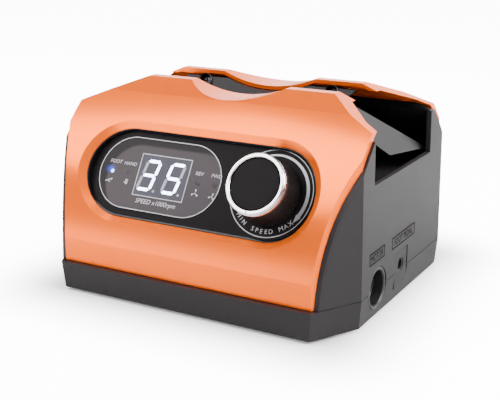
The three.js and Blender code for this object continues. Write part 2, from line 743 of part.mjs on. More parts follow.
function cradleEnds() {
  const half = [
    [CREASE_FOOT_X, 0], [CREASE_FOOT_X, CREASE_FOOT_Z],
    [CRADLE_WAIST_X, WAIST_Z], [CRADLE_END_X, CRADLE_TOP_Z], [CRADLE_END_X, HEIGHT],
  ];
  return [...half, ...half.map(([x, z]) => [-x, z]).reverse()];
}

// Each wing is a flat plate that flares from the waist down and out to the sill
function wing() {
  const tip = new THREE.Vector3(HALF_WIDTH - WING_TIP_INSET, WING_TIP_Y, SILL_Z + WING_TIP_RISE);
  const heel = new THREE.Vector3(WING_HEEL_X, WING_HEEL_Y, SILL_Z);
  const root = new THREE.Vector3(CRADLE_WAIST_X - GAP, WAIST_Y, WAIST_Z);
  const foot = new THREE.Vector3(CREASE_FOOT_X - GAP, vWallY(CREASE_FOOT_Z), CREASE_FOOT_Z);
  const face = [root, tip, heel, foot];
  const normal = tip.clone().sub(root).cross(heel.clone().sub(root)).normalize();
  const back = face.map((corner) => corner.clone().addScaledVector(normal, CRADLE_WALL));
  return solid(new ConvexGeometry([...face, ...back]));
}

// The V's open inside, which nothing of the cradle may fill
function vOpening() {
  const floorZ = BASE_Z + CRADLE_FLOOR;
  const topY = vWallY(HEIGHT);
  return alongX([
    [-vWallY(floorZ), floorZ], [vWallY(floorZ), floorZ], [topY, HEIGHT], [-topY, HEIGHT],
  ], -FAR, FAR);
}

function cradleRib(x) {
  const top = BASE_Z + CRADLE_FLOOR + CRADLE_RIB_REACH;
  const outline = [
    [-CRADLE_RIB_FOOT, DECK_Z + GAP], [CRADLE_RIB_FOOT, DECK_Z + GAP],
    [vWallY(top) + CUT_PAST, top], [-vWallY(top) - CUT_PAST, top],
  ];
  return cut(alongX(outline, x - CRADLE_WALL / 2, x + CRADLE_WALL / 2), vOpening());
}

// A cylinder at right angles to the rear V wall, from depth0 behind its face to depth1
const RECESS_Z = HEIGHT - CRADLE_SCREW_DROP;
const WALL_ANGLE = Math.PI / 2 - Math.atan(CRADLE_SLOPE);

function behindVWall(radius, depth0, depth1, x, segments = MIDDLE_SEGMENTS) {
  const geometry = new THREE.CylinderGeometry(radius, radius, depth1 - depth0, segments);
  geometry.rotateX(Math.PI / 2).translate(0, 0, -(depth0 + depth1) / 2);
  return solid(geometry.rotateX(WALL_ANGLE).translate(x, vWallY(RECESS_Z), RECESS_Z));
}

function makeCradle() {
  const headFoot = RECESS_DEPTH - GAP;
  const walls = common(
    alongX(vSection(), -CRADLE_END_X, CRADLE_END_X),
    alongY(cradleEnds(), -FAR, FAR),
  );
  const rearWing = wing();
  const wings = [rearWing, mirrorX(rearWing), mirrorY(rearWing), mirrorX(mirrorY(rearWing))];
  const everyScrew = (make) => [-1, 1].flatMap((side) => {
    const rear = make(side * CRADLE_SCREW_X);
    return [rear, mirrorY(rear)];
  });
  const bosses = everyScrew((x) => behindVWall(
    RECESS_RADIUS + RECESS_WALL, RECESS_EMBED, RECESS_DEPTH + RECESS_FLOOR, x,
  ));
  const recesses = everyScrew((x) => behindVWall(RECESS_RADIUS, -NEAR_PAST, RECESS_DEPTH, x));
  const bores = everyScrew((x) => behindVWall(SCREW_RADIUS + GAP, -CUT_PAST, NEAR_PAST, x));
  const whole = join(
    walls, ...wings, ...bosses, cradleRib(-CRADLE_RIB_X), cradleRib(CRADLE_RIB_X),
  );
  const trimmed = common(
    whole,
    topEnvelope(RIM_LIP + GAP),
    sideEnvelope(SHELL_SKIN),
    block([-FAR, FAR], [-FAR, FAR], [0, CRADLE_TOP_Z]),
  );
  add(unit, 'handpiece_cradle', cut(trimmed, ...recesses, ...bores), DARK);
  const screw = join(
    behindVWall(SCREW_HEAD_RADIUS, headFoot - CRADLE_SCREW_HEAD, headFoot, 0),
    behindVWall(
      SCREW_RADIUS, headFoot - CUT_PAST, RECESS_DEPTH + CRADLE_SCREW_REACH, 0, SMALL_SEGMENTS,
    ),
  );
  [-1, 1].forEach((side) => {
    const word = side < 0 ? 'left' : 'right';
    const rear = screw.translate([side * CRADLE_SCREW_X, 0, 0]);
    add(unit, `cradle_screw_rear_${word}`, rear, BLACK);
    add(unit, `cradle_screw_front_${word}`, mirrorY(rear), BLACK);
  });
}

// ---- Control panel ----------------------------------------------------------------------------

function makePanel() {
  const plate = stadiumPrism(
    WINDOW_LENGTH + 2 * PANEL_OVERLAP, WINDOW_BREADTH + 2 * PANEL_OVERLAP, PANEL_UNDER, PANEL_TOP,
  );
  const pocket = stadiumPrism(
    LENS_LENGTH + 2 * GAP, LENS_BREADTH + 2 * GAP, LENS_SEAT, CUT_PAST, LENS_OFFSET,
  );
  const opening = stadiumPrism(
    LENS_LENGTH - 2 * LENS_LEDGE, LENS_BREADTH - 2 * LENS_LEDGE,
    PANEL_UNDER - CUT_PAST, CUT_PAST, LENS_OFFSET,
  );
  const bushingHole = post(BUSHING_RADIUS + GAP, 2 * PANEL_THICKNESS, [KNOB_X, 0, PANEL_UNDER - CUT_PAST]);
  add(panelGroup, 'control_panel', cut(plate, pocket, opening, bushingHole), PANEL);
  const lens = stadiumPrism(
    LENS_LENGTH, LENS_BREADTH, PANEL_TOP - LENS_THICKNESS, PANEL_TOP, LENS_OFFSET,
  );
  add(panelGroup, 'display_lens', lens, SMOKED);
}

function makeDisplay() {
  const display = block(
    [DISPLAY_X - DISPLAY_WIDTH / 2, DISPLAY_X + DISPLAY_WIDTH / 2],
    [-DISPLAY_BREADTH / 2, DISPLAY_BREADTH / 2],
    [BOARD_TOP + GAP, LENS_SEAT],
  );
  add(panelGroup, 'digit_display', display, LIGHT);
  const boardX = [
    LED_X[0] - DISPLAY_BOARD_MARGIN,
    LED_X[LED_X.length - 1] + DISPLAY_BOARD_MARGIN,
  ];
  const board = block(
    boardX,
    [-DISPLAY_BOARD_BREADTH / 2, DISPLAY_BOARD_BREADTH / 2],
    [BOARD_TOP - BOARD_THICKNESS, BOARD_TOP],
  );
  add(panelGroup, 'display_board', board, BOARD);
  ['foot', 'hand', 'reverse', 'forward'].forEach((word, i) => {
    const length = LENS_SEAT - BOARD_TOP - 2 * GAP;
    const led = post(LED_RADIUS, length, [LED_X[i], 0, BOARD_TOP + GAP], SMALL_SEGMENTS);
    add(panelGroup, `indicator_led_${word}`, led, LIGHT);
  });
  ['mode', 'direction'].forEach((word, i) => {
    const length = LENS_SEAT - BOARD_TOP - 2 * GAP;
    const at = [TOUCH_X[i], -TOUCH_BELOW, BOARD_TOP + GAP];
    const spring = cut(
      post(TOUCH_RADIUS, length, at, MIDDLE_SEGMENTS),
      post(TOUCH_RADIUS - TOUCH_WALL, length, [at[0], at[1], at[2] + TOUCH_END], MIDDLE_SEGMENTS),
    );
    add(panelGroup, `touch_spring_${word}`, spring, STEEL);
  });
}

// ---- Speed knob -------------------------------------------------------------------------------

function makeKnob() {
  const knobUnder = PANEL_TOP + KNOB_LIFT;
  const knobTop = knobUnder + KNOB_HEIGHT;
  const capUnder = knobTop - KNOB_CAP_DROP - KNOB_CAP_THICKNESS;
  const ringUnder = knobTop - KNOB_RING_HEIGHT;
  const ringRadius = KNOB_TOP_RADIUS;
  const ringBore = ringRadius - KNOB_RING_WIDTH;
  const potTop = PANEL_UNDER - GAP;
  const shaftFoot = potTop - POT_DEPTH + POT_SHAFT_FLOOR;
  const boreTop = shaftFoot + SHAFT_LENGTH + GAP;
  const nutRoom = PANEL_TOP + GAP + NUT_HEIGHT + KNOB_LIFT;

  const pot = cut(
    join(
      post(POT_RADIUS, POT_DEPTH, [KNOB_X, 0, potTop - POT_DEPTH]),
      post(BUSHING_RADIUS, nutRoom - potTop, [KNOB_X, 0, potTop]),
    ),
    post(SHAFT_RADIUS + GAP, CUT_LENGTH, [KNOB_X, 0, shaftFoot - GAP]),
  );
  add(panelGroup, 'speed_potentiometer', pot, STEEL);
  const nut = cut(
    post(NUT_RADIUS, NUT_HEIGHT, [KNOB_X, 0, PANEL_TOP + GAP], HEX_SIDES),
    post(BUSHING_RADIUS + GAP, 2 * NUT_HEIGHT, [KNOB_X, 0, PANEL_TOP]),
  );
  add(panelGroup, 'potentiometer_nut', nut, BRASS);

  const knobGroup = new THREE.Group();
  knobGroup.position.set(KNOB_X, 0, 0);
  panelGroup.add(knobGroup);
  const shaft = post(SHAFT_RADIUS, SHAFT_LENGTH, [0, 0, shaftFoot]);
  add(knobGroup, 'potentiometer_shaft', shaft, ALUMINIUM);
  const body = turned([
    [SHAFT_RADIUS + GAP, boreTop], [SHAFT_RADIUS + GAP, nutRoom + GAP],
    [NUT_RADIUS + 2 * GAP, nutRoom + GAP], [NUT_RADIUS + 2 * GAP, knobUnder],
    [KNOB_FOOT_RADIUS, knobUnder], [KNOB_TOP_RADIUS, ringUnder - GAP],
    [ringBore - GAP, ringUnder - GAP], [ringBore - GAP, capUnder - GAP],
    [0, capUnder - GAP], [0, boreTop], [SHAFT_RADIUS + GAP, boreTop],
  ]);
  add(knobGroup, 'knob_body', body, BLACK);
  const chamfer = KNOB_RING_CHAMFER;
  const ring = turned([
    [ringBore, ringUnder], [ringRadius, ringUnder], [ringRadius, knobTop - chamfer],
    [ringRadius - chamfer, knobTop], [ringBore + chamfer, knobTop],
    [ringBore, knobTop - chamfer], [ringBore, ringUnder],
  ]);
  add(knobGroup, 'knob_ring', ring, CHROME);
  const cap = post(ringBore - GAP, KNOB_CAP_THICKNESS, [0, 0, capUnder], KNOB_SEGMENTS);
  add(knobGroup, 'knob_cap', cap, PANEL);
}

// ---- Side sockets -----------------------------------------------------------------------------

const SIDE_X = HALF_WIDTH - GAP; // outer faces of the socket pieces

function makeMotorSocket() {
  const back = SIDE_X - MOTOR_DEPTH;
  const insertFace = SIDE_X - MOTOR_INSERT_BACKSET;
  const bore = MOTOR_RADIUS - MOTOR_WALL;
  const shell = cut(
    rodX(MOTOR_RADIUS, MOTOR_DEPTH, [back, MOTOR_Y, SOCKET_Z]),
    rodX(bore, MOTOR_DEPTH, [back + MOTOR_BACK_WALL, MOTOR_Y, SOCKET_Z]),
  );
  add(unit, 'motor_socket', shell, BLACK);
  const pins = [];
  for (let i = 0; i < MOTOR_PIN_COUNT; i += 1) {
    const angle = ((i + 0.5) * 2 * Math.PI) / MOTOR_PIN_COUNT;
    pins.push([
      MOTOR_Y + MOTOR_PIN_CIRCLE * Math.cos(angle),
      SOCKET_Z + MOTOR_PIN_CIRCLE * Math.sin(angle),
    ]);
  }
  const insertBack = back + MOTOR_BACK_WALL + GAP;
  const pinBed = insertBack + MOTOR_PIN_FLOOR;
  const insert = cut(
    rodX(bore - GAP, insertFace - insertBack, [insertBack, MOTOR_Y, SOCKET_Z]),
    ...pins.map(([y, z]) => rodX(MOTOR_PIN_RADIUS + GAP, CUT_LENGTH, [pinBed, y, z], SMALL_SEGMENTS)),
  );
  add(unit, 'motor_socket_insert', insert, PANEL);
  pins.forEach(([y, z], i) => {
    const foot = pinBed + GAP;
    const length = insertFace + MOTOR_PIN_LENGTH - foot;
    const pin = rodX(MOTOR_PIN_RADIUS, length, [foot, y, z], SMALL_SEGMENTS);
    add(unit, `motor_pin_${i + 1}`, pin, BRASS);
  });
}

function makePedalJack() {
  const z0 = BASE_Z + JACK_PLATE_BOTTOM;
  const boreZ = z0 + JACK_PLATE_HEIGHT / 2 + JACK_RISE;
  const plate = cut(
    block(
      [SIDE_X - JACK_PLATE_THICKNESS, SIDE_X],
      [JACK_Y - JACK_PLATE_WIDTH / 2, JACK_Y + JACK_PLATE_WIDTH / 2],
      [z0, z0 + JACK_PLATE_HEIGHT],
    ),
    rodX(JACK_BORE_RADIUS, CUT_LENGTH, [0, JACK_Y, boreZ]),
  );
  add(unit, 'pedal_jack_plate', plate, DARK);
  const front = SIDE_X - JACK_PLATE_THICKNESS - GAP;
  const body = cut(
    block(
      [front - JACK_LENGTH, front],
      [JACK_Y - JACK_BODY / 2, JACK_Y + JACK_BODY / 2],
      [boreZ - JACK_BODY / 2, boreZ + JACK_BODY / 2],
    ),
    rodX(JACK_BORE_RADIUS, JACK_LENGTH, [front - JACK_LENGTH + JACK_BACK_WALL, JACK_Y, boreZ]),
  );
  add(unit, 'pedal_jack', body, BLACK);
}

// ---- Service pan ------------------------------------------------------------------------------

const PAN_FLOOR_Y = HALF_DEPTH - PAN_FLOOR_BACKSET;
const PAN_MIDDLE_Z = (PAN_Z[0] + PAN_Z[1]) / 2;

function centredBlock([width, height], [y0, y1], x) {
  return block(
    [x - width / 2, x + width / 2],
    [y0, y1],
    [PAN_MIDDLE_Z - height / 2, PAN_MIDDLE_Z + height / 2],
  );
}

function makeServicePan() {
  const outside = block([-PAN_HALF_WIDTH, PAN_HALF_WIDTH], [PAN_FLOOR_Y - PAN_WALL, FAR], PAN_Z);
  const inside = block(
    [-PAN_HALF_WIDTH + PAN_WALL, PAN_HALF_WIDTH - PAN_WALL],
    [PAN_FLOOR_Y, FAR],
    [PAN_Z[0] + PAN_WALL, PAN_Z[1] - PAN_WALL],
  );
  const under = PAN_FLOOR_Y - PAN_WALL - CUT_PAST;
  const over = PAN_FLOOR_Y + CUT_PAST;
  const inletBody = INLET_CAVITY.map((side) => side + 2 * PAN_WALL);
  const switchBody = SWITCH_CAVITY.map((side) => side + 2 * SWITCH_WALL);
  const pan = cut(
    common(outside, sideEnvelope(GAP)),
    inside,
    centredBlock(inletBody.map((side) => side + 2 * GAP), [under, over], INLET_X),
    centredBlock(switchBody.map((side) => side + 2 * GAP), [under, over], SWITCH_X),
    rodY(FUSE_RADIUS - FUSE_RIM + GAP, over - under, [FUSE_X, under, PAN_MIDDLE_Z]),
  );
  add(unit, 'service_pan', pan, DARK);
  const face = PAN_FLOOR_Y + GAP;

  const inletBack = face - INLET_DEPTH;
  const inletFloor = inletBack + INLET_BACK_WALL;
  const inlet = cut(
    join(
      centredBlock(INLET_FLANGE, [face, face + INLET_FLANGE_THICKNESS], INLET_X),
      centredBlock(inletBody, [inletBack, face + CUT_PAST], INLET_X),
    ),
    centredBlock(INLET_CAVITY, [inletFloor, FAR], INLET_X),
    ...INLET_PIN_X.map((x) => centredBlock(
      INLET_PIN.map((side) => side + 2 * GAP), [0, FAR], INLET_X + x,
    )),
  );
  add(unit, 'power_inlet', inlet, BLACK);
  INLET_PIN_X.forEach((x, i) => {
    const pin = centredBlock(INLET_PIN, [inletBack, inletFloor + INLET_PIN_LENGTH], INLET_X + x);
    add(unit, `inlet_pin_${i + 1}`, pin, STEEL);
  });

  const fuse = join(
    rodY(FUSE_RADIUS, FUSE_CAP_HEIGHT, [FUSE_X, face, PAN_MIDDLE_Z]),
    rodY(FUSE_RADIUS - FUSE_RIM, FUSE_BODY_LENGTH, [FUSE_X, face - FUSE_BODY_LENGTH, PAN_MIDDLE_Z]),
  );
  add(unit, 'fuse_holder', fuse, BLACK);
}

// The rocker turns about a pin along X and rests tilted, with its lower end pressed in
function makeRockerSwitch() {
  const face = PAN_FLOOR_Y + GAP;
  const back = face - SWITCH_DEPTH;
  const pinY = face - ROCKER_PIN_SINK;
  const body = SWITCH_CAVITY.map((side) => side + 2 * SWITCH_WALL);
  const pinRun = body[0] - 2 * GAP;
  const pinHole = rodX(
    ROCKER_PIN_RADIUS + GAP, 2 * body[0], [SWITCH_X - body[0], pinY, PAN_MIDDLE_Z], SMALL_SEGMENTS,
  );
  const housing = cut(
    join(
      centredBlock(SWITCH_BEZEL, [face, face + SWITCH_BEZEL_HEIGHT], SWITCH_X),
      centredBlock(body, [back, face + CUT_PAST], SWITCH_X),
    ),
    centredBlock(SWITCH_CAVITY, [back + SWITCH_WALL, FAR], SWITCH_X),
    pinHole,
  );
  add(unit, 'switch_housing', housing, BLACK);
  const pinAt = [SWITCH_X - pinRun / 2, pinY, PAN_MIDDLE_Z];
  const pin = rodX(ROCKER_PIN_RADIUS, pinRun, pinAt, SMALL_SEGMENTS);
  add(unit, 'rocker_pin', pin, STEEL);

  const half = ROCKER_LENGTH / 2;
  const outline = [
    [-ROCKER_KEEL, -half + ROCKER_KEEL_TAPER], [ROCKER_SHOULDER, -half], [ROCKER_CROWN, -half],
    [ROCKER_CROWN - ROCKER_DISH, 0], [ROCKER_CROWN, half], [ROCKER_SHOULDER, half],
    [-ROCKER_KEEL, half - ROCKER_KEEL_TAPER],
  ];
  const rocker = cut(
    alongX(outline, -ROCKER_WIDTH / 2, ROCKER_WIDTH / 2),
    rodX(ROCKER_PIN_RADIUS + GAP, 2 * ROCKER_WIDTH, [-ROCKER_WIDTH, 0, 0], SMALL_SEGMENTS),
  );
  const rockerGroup = new THREE.Group();
  rockerGroup.position.set(SWITCH_X, pinY, PAN_MIDDLE_Z);
  rockerGroup.rotation.x = THREE.MathUtils.degToRad(-ROCKER_TILT);
  unit.add(rockerGroup);
  add(rockerGroup, 'power_rocker', rocker, BLACK);
}

// ---- Power supply and main board --------------------------------------------------------------

function makeTransformer() {
  const [width, stack, height] = CORE_SIZE;
  const z0 = TRAY_FLOOR_Z + GAP;
  const z1 = z0 + height;
  const at = ([x0, x1], [y0, y1], z) => block(
    [TRANSFORMER_X + x0, TRANSFORMER_X + x1], [TRANSFORMER_Y + y0, TRANSFORMER_Y + y1], z,
  );
  const wide = width / 2;
  const deep = stack / 2;
  const windowZ = [z0 + CORE_LIMB, z1 - CORE_LIMB];
  const core = cut(
    at([-wide, wide], [-deep, deep], [z0, z1]),
    at([CORE_LIMB, wide - CORE_LIMB], [-wide, wide], windowZ),
    at([-wide + CORE_LIMB, -CORE_LIMB], [-wide, wide], windowZ),
  );
  add(unit, 'transformer_core', core, STEEL);
  const coilWide = wide - CORE_LIMB - GAP;
  const coilDeep = deep + COIL_OVERHANG;
  const coilZ = [windowZ[0] + GAP, windowZ[1] - GAP];
  const winding = cut(
    at([-coilWide, coilWide], [-coilDeep, coilDeep], coilZ),
    at([-CORE_LIMB - GAP, CORE_LIMB + GAP], [-deep - GAP, deep + GAP], windowZ),
  );
  add(unit, 'transformer_winding', winding, COPPER);
  const inX = wide + GAP;
  const outX = inX + BRACKET_THICKNESS;
  const earX = outX + BRACKET_EAR;
  const earTop = z0 + BRACKET_THICKNESS;
  const strap = [
    [inX, z0], [earX, z0], [earX, earTop], [outX, earTop], [outX, z1 + GAP + BRACKET_THICKNESS],
  ];
  const mirrored = strap.map(([x, z]) => [-x, z]).reverse();
  const inner = [[-inX, z1 + GAP], [inX, z1 + GAP]];
  const outline = [...strap, ...mirrored, ...inner].map(([x, z]) => [TRANSFORMER_X + x, z]);
  const bracketHalf = deep - COIL_OVERHANG / 2;
  const bracket = alongY(outline, TRANSFORMER_Y - bracketHalf, TRANSFORMER_Y + bracketHalf);
  add(unit, 'transformer_bracket', bracket, ALUMINIUM);
}

function makeMainBoard() {
  const [width, length] = MAIN_BOARD_SIZE;
  const under = TRAY_FLOOR_Z + STANDOFF_HEIGHT + GAP;
  const top = under + BOARD_THICKNESS;
  const onTop = top + GAP;
  const board = block(
    [MAIN_BOARD_X - width / 2, MAIN_BOARD_X + width / 2],
    [MAIN_BOARD_Y - length / 2, MAIN_BOARD_Y + length / 2],
    [under, top],
  );
  add(unit, 'main_board', board, BOARD);

  const [sinkWide, sinkDeep, sinkHigh] = HEATSINK_SIZE;
  const sinkY = MAIN_BOARD_Y;
  const pitch = sinkWide / (HEATSINK_FINS - FIN_SHARE);
  const comb = [[-sinkWide / 2, 0], [sinkWide / 2, 0]];
  for (let i = HEATSINK_FINS - 1; i >= 0; i -= 1) {
    const left = -sinkWide / 2 + i * pitch;
    const right = left + pitch / 2;
    comb.push([right, sinkDeep], [left, sinkDeep]);
    if (i > 0) {
      comb.push([left, HEATSINK_BASE], [left - pitch / 2, HEATSINK_BASE]);
    }
  }
  const sink = alongZ(comb.map(([x, y]) => [MAIN_BOARD_X + x, sinkY + y]), onTop, onTop + sinkHigh);
  add(unit, 'heatsink', sink, ALUMINIUM);
  const [regWide, regDeep, regHigh] = REGULATOR_SIZE;
  const regX = MAIN_BOARD_X + sinkWide / 2 - regWide;
  const regulator = block(
    [regX, regX + regWide],
    [sinkY - GAP - regDeep, sinkY - GAP],
    [onTop + REGULATOR_LEGS, onTop + REGULATOR_LEGS + regHigh],
  );
  add(unit, 'voltage_regulator', regulator, BLACK);
  [-1, 1].forEach((side, i) => {
    const x = MAIN_BOARD_X + side * (CAPACITOR_RADIUS + BOARD_SPACING);
    const y = sinkY - REGULATOR_SIZE[1] - CAPACITOR_RADIUS - BOARD_SPACING;
    const capacitor = post(CAPACITOR_RADIUS, CAPACITOR_HEIGHT, [x, y, onTop], MIDDLE_SEGMENTS);
    add(unit, `filter_capacitor_${i + 1}`, capacitor, SLEEVE);
  });
}

makeFascias();
makeShell();
makeTray();
makeFeetAndScrews();
makeCradle();
makePanel();
makeDisplay();
makeKnob();
makeMotorSocket();
makePedalJack();
makeServicePan();
makeRockerSwitch();
makeTransformer();
makeMainBoard();

// The overall box, knob included, is centred over the origin
const overall = new THREE.Box3().setFromObject(unit, true);
const middle = overall.getCenter(new THREE.Vector3());
unit.position.set(-middle.x, -middle.y, 0);

export default unit;
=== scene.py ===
"""Builds the shown pieces of a desktop handpiece control unit around its CAD frame.

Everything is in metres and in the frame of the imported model: +X to the right of the control panel,
+Y to the back, +Z up, with the origin on the table under the middle of the unit.
"""

import json
import math

import bmesh
import bpy
from bpy.props import FloatProperty, FloatVectorProperty, IntProperty, StringProperty
from mathutils import Matrix, Vector


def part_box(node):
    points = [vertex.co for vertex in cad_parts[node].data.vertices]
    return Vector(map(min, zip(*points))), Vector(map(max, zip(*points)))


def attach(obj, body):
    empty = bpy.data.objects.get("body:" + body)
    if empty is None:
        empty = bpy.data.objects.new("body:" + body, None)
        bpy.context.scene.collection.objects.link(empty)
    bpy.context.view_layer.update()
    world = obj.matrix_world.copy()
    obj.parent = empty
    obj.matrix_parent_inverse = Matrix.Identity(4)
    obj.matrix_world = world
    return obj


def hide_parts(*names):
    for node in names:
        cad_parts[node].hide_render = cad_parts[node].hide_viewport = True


bl_info = {
    "name": "Handpiece control unit",
    "version": (1, 0, 0),
    "blender": (4, 5, 0),
    "location": "3D View > Sidebar > Control unit",
    "description": "Builds the shown pieces of a desktop control unit around its CAD frame",
    "category": "Object",
}

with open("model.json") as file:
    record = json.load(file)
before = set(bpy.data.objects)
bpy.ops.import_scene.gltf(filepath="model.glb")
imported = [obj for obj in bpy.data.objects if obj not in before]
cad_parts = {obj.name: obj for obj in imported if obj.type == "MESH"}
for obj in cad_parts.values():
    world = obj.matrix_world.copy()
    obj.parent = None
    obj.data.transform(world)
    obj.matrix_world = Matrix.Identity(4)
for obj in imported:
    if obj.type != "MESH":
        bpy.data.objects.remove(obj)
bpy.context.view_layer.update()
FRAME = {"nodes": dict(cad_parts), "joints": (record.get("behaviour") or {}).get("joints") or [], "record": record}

MM = 0.001
SKIN = 0.02 * MM  # how far a print stands proud of the surface it is on
GAP = 0.3 * MM  # clearance between neighbouring pieces
CORNER_WIDTH_MM = 12.3  # the corner faces cut this much off the width on each side
CORNER_DEPTH_MM = 21.7  # and this much off the depth
SIDE_DRAFT = 0.2  # the side walls lean in by this share per metre of height
JACK_BORE_RADIUS = 3.1 * MM
OPEN_END_SILL = 49 * MM  # the shell's open ends start at this height
UNLIT_FROM = 2.2 * MM  # behind the shell's outside, where its painted shade, a flat black, starts
UNLIT_FULL = 3.2 * MM  # and where it is full


# ---- Places taken from the frame ----------------------------------------------------------------

JOINTS = {joint["name"]: joint for joint in FRAME["joints"]}
KNOB_PIVOT = Vector(JOINTS["speed_knob_turn"]["pos_m"])
PANEL_NORMAL = Vector(JOINTS["speed_knob_turn"]["axis"]).normalized()
SHELL_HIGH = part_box("body_shell")[1]
FASCIA_LOW, FASCIA_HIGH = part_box("front_fascia")
TRAY_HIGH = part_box("base_tray")[1]
REAR_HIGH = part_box("rear_fascia")[1]
MIDDLE_Y = (FASCIA_LOW.y + REAR_HIGH.y) / 2
HALF_WIDTH = SHELL_HIGH.x
HALF_DEPTH = (REAR_HIGH.y - FASCIA_LOW.y) / 2
PARTING_Z = TRAY_HIGH.z
TOP_Z = FASCIA_HIGH.z


def panel_place():
    """The panel's own frame: X to the right, Y up the panel, Z out of it, origin at mid width."""
    across = Vector((1, 0, 0))
    upwards = PANEL_NORMAL.cross(across)
    place = Matrix((across, upwards, PANEL_NORMAL)).transposed().to_4x4()
    place.translation = Vector((0, KNOB_PIVOT.y, KNOB_PIVOT.z))
    return place


PANEL_PLACE = panel_place()


def height_on_panel(node):
    """Lowest and highest place of a CAD node along the panel's normal."""
    into_panel = PANEL_PLACE.inverted()
    heights = [(into_panel @ vertex.co).z for vertex in FRAME["nodes"][node].data.vertices]
    return min(heights), max(heights)


def extent_on_panel(node):
    """Middle and size of a CAD node across and up the panel."""
    into_panel = PANEL_PLACE.inverted()
    spots = [into_panel @ vertex.co for vertex in FRAME["nodes"][node].data.vertices]
    across = [spot.x for spot in spots]
    up = [spot.y for spot in spots]
    middle = Vector(((min(across) + max(across)) / 2, (min(up) + max(up)) / 2))
    return middle, Vector((max(across) - min(across), max(up) - min(up)))


PANEL_SURFACE = height_on_panel("control_panel")[1]
LENS_MIDDLE, LENS_SIZE = extent_on_panel("display_lens")
KNOB_PLACE = PANEL_PLACE @ Matrix.Translation((KNOB_PIVOT.x, 0, 0))


# ---- Sizes that a user would change ---------------------------------------------------------------


def length(name, description, millimetres):
    return FloatProperty(
        name=name, description=description, default=millimetres * MM, subtype="DISTANCE", unit="LENGTH"
    )


def colour(name, description, red, green, blue):
    return FloatVectorProperty(
        name=name, description=description, default=(red, green, blue), subtype="COLOR", min=0, max=1
    )


class FasciaSizes(bpy.types.PropertyGroup):
    """Shape of the two curved fascias"""

    edge_inset: length("Edge inset", "Fascia edges inside the corner faces", 1.2)
    wall: length("Wall", "Wall thickness", 3)
    corner_width: length("Corner width", "Corner faces cut this off the width", CORNER_WIDTH_MM)
    corner_depth: length("Corner depth", "Corner faces cut this off the depth", CORNER_DEPTH_MM)
    lower_pull: length("Lower pull", "Handle length of the side curve at its foot", 34.7)
    upper_pull: length("Upper pull", "Handle length of the side curve at the crease", 29.5)
    bevel_run: length("Bevel run", "Flat bevel over the crease, along Y", 12.7)
    bevel_rise: length("Bevel rise", "Flat bevel over the crease, along Z", 5.3)
    rim_half_gap: length("Rim half gap", "Half the open width between the rims", 11.8)
    rim_width: length("Rim width", "Width of each rim", 4.9)
    rim_lip: length("Rim lip", "Height of the rim's lip", 1.8)
    shoulder_x: length("Shoulder", "Where the shoulder meets the side, from the middle", 71.9)
    shoulder_drop: length("Shoulder drop", "Shoulder below the rim", 10.4)
    rim_half_width: length("Rim half width", "Half the rim's level stretch", 47)
    scoop_half_width: length("Scoop half width", "Half the finger scoop's width", 23.8)
    scoop_depth: length("Scoop depth", "Depth of the finger scoop", 5.1)
    window_length: length("Window length", "Length of the panel's window", 112)
    window_breadth: length("Window breadth", "Breadth of the panel's window", 40)
    chamfer_width: length("Chamfer width", "Chamfer round the window", 3)
    chamfer_depth: length("Chamfer depth", "How deep the chamfer goes", 2.5)
    edge_radius: length("Edge radius", "Rounding of the moulded edges", 0.55)
    foot_lean: FloatProperty(
        name="Foot lean", description="Side curve off vertical at its foot", default=math.radians(4.6),
        subtype="ANGLE",
    )
    crease_slope: FloatProperty(
        name="Crease slope", description="Side curve's slope at the crease", default=math.radians(37),
        subtype="ANGLE",
    )
    curve_steps: IntProperty(name="Curve steps", description="Steps along the side curve", default=64)


class HousingSizes(bpy.types.PropertyGroup):
    """Finish of the shell, tray and cradle"""

    shell_edge: length("Shell edge", "Rounding of the shell's edges", 0.45)
    tray_edge: length("Tray edge", "Rounding of the tray's edges", 0.6)
    cradle_edge: length("Cradle edge", "Rounding of the cradle's edges", 0.35)
    small_edge: length("Small edge", "Rounding of small parts' edges", 0.25)


class KnobSizes(bpy.types.PropertyGroup):
    """Shape of the speed knob"""

    foot_radius: length("Foot radius", "Radius at the foot", 13.5)
    waist_radius: length("Waist radius", "Radius under the ring", 12.6)
    ring_radius: length("Ring radius", "Outer radius of the bright ring", 12.95)
    ring_bore: length("Ring bore", "Inner radius of the bright ring", 11.0)
    ring_height: length("Ring height", "Height of the bright ring", 3.1)
    rib_depth: length("Rib depth", "How far a grip rib stands out", 0.4)
    rib_count: IntProperty(name="Ribs", description="Number of grip ribs", default=110)


class PanelSizes(bpy.types.PropertyGroup):
    """Display, lights and prints on the control panel"""

    digit_height: length("Digit height", "Height of a digit", 14.2)
    digit_width: length("Digit width", "Width of a digit", 7.8)
    digit_pitch: length("Digit pitch", "From digit to digit", 12.7)
    segment_width: length("Segment width", "Width of a digit's bars", 1.35)
    digit_slant: FloatProperty(
        name="Digit slant", description="Lean of the digits", default=math.radians(11), subtype="ANGLE"
    )
    dial_radius: length("Dial radius", "Radius of the thin dial circle", 18.5)
    arc_radius: length("Arc radius", "Radius of the tapering arc", 16.3)
    line_width: length("Line width", "Width of the thin printed lines", 0.35)
    reading: StringProperty(name="Reading", description="What the display shows", default="35")


class LookSettings(bpy.types.PropertyGroup):
    """Colours of the moulded and printed surfaces"""

    orange: colour("Orange", "Pearl orange of the fascias", 0.97, 0.138, 0.0007)
    dark: colour("Dark", "Dark satin plastic", 0.012, 0.0105, 0.0115)
    membrane: colour("Membrane", "Control panel", 0.010, 0.009, 0.0095)
    smoke: colour("Smoke", "Smoked lens", 0.052, 0.045, 0.049)
    print_grey: colour("Print grey", "Printed lines and words", 0.42, 0.41, 0.43)


# ---- Shader nodes -----------------------------------------------------------------------------------


FINISH_MARK = "_finish"  # keeps these materials apart from the frame's own


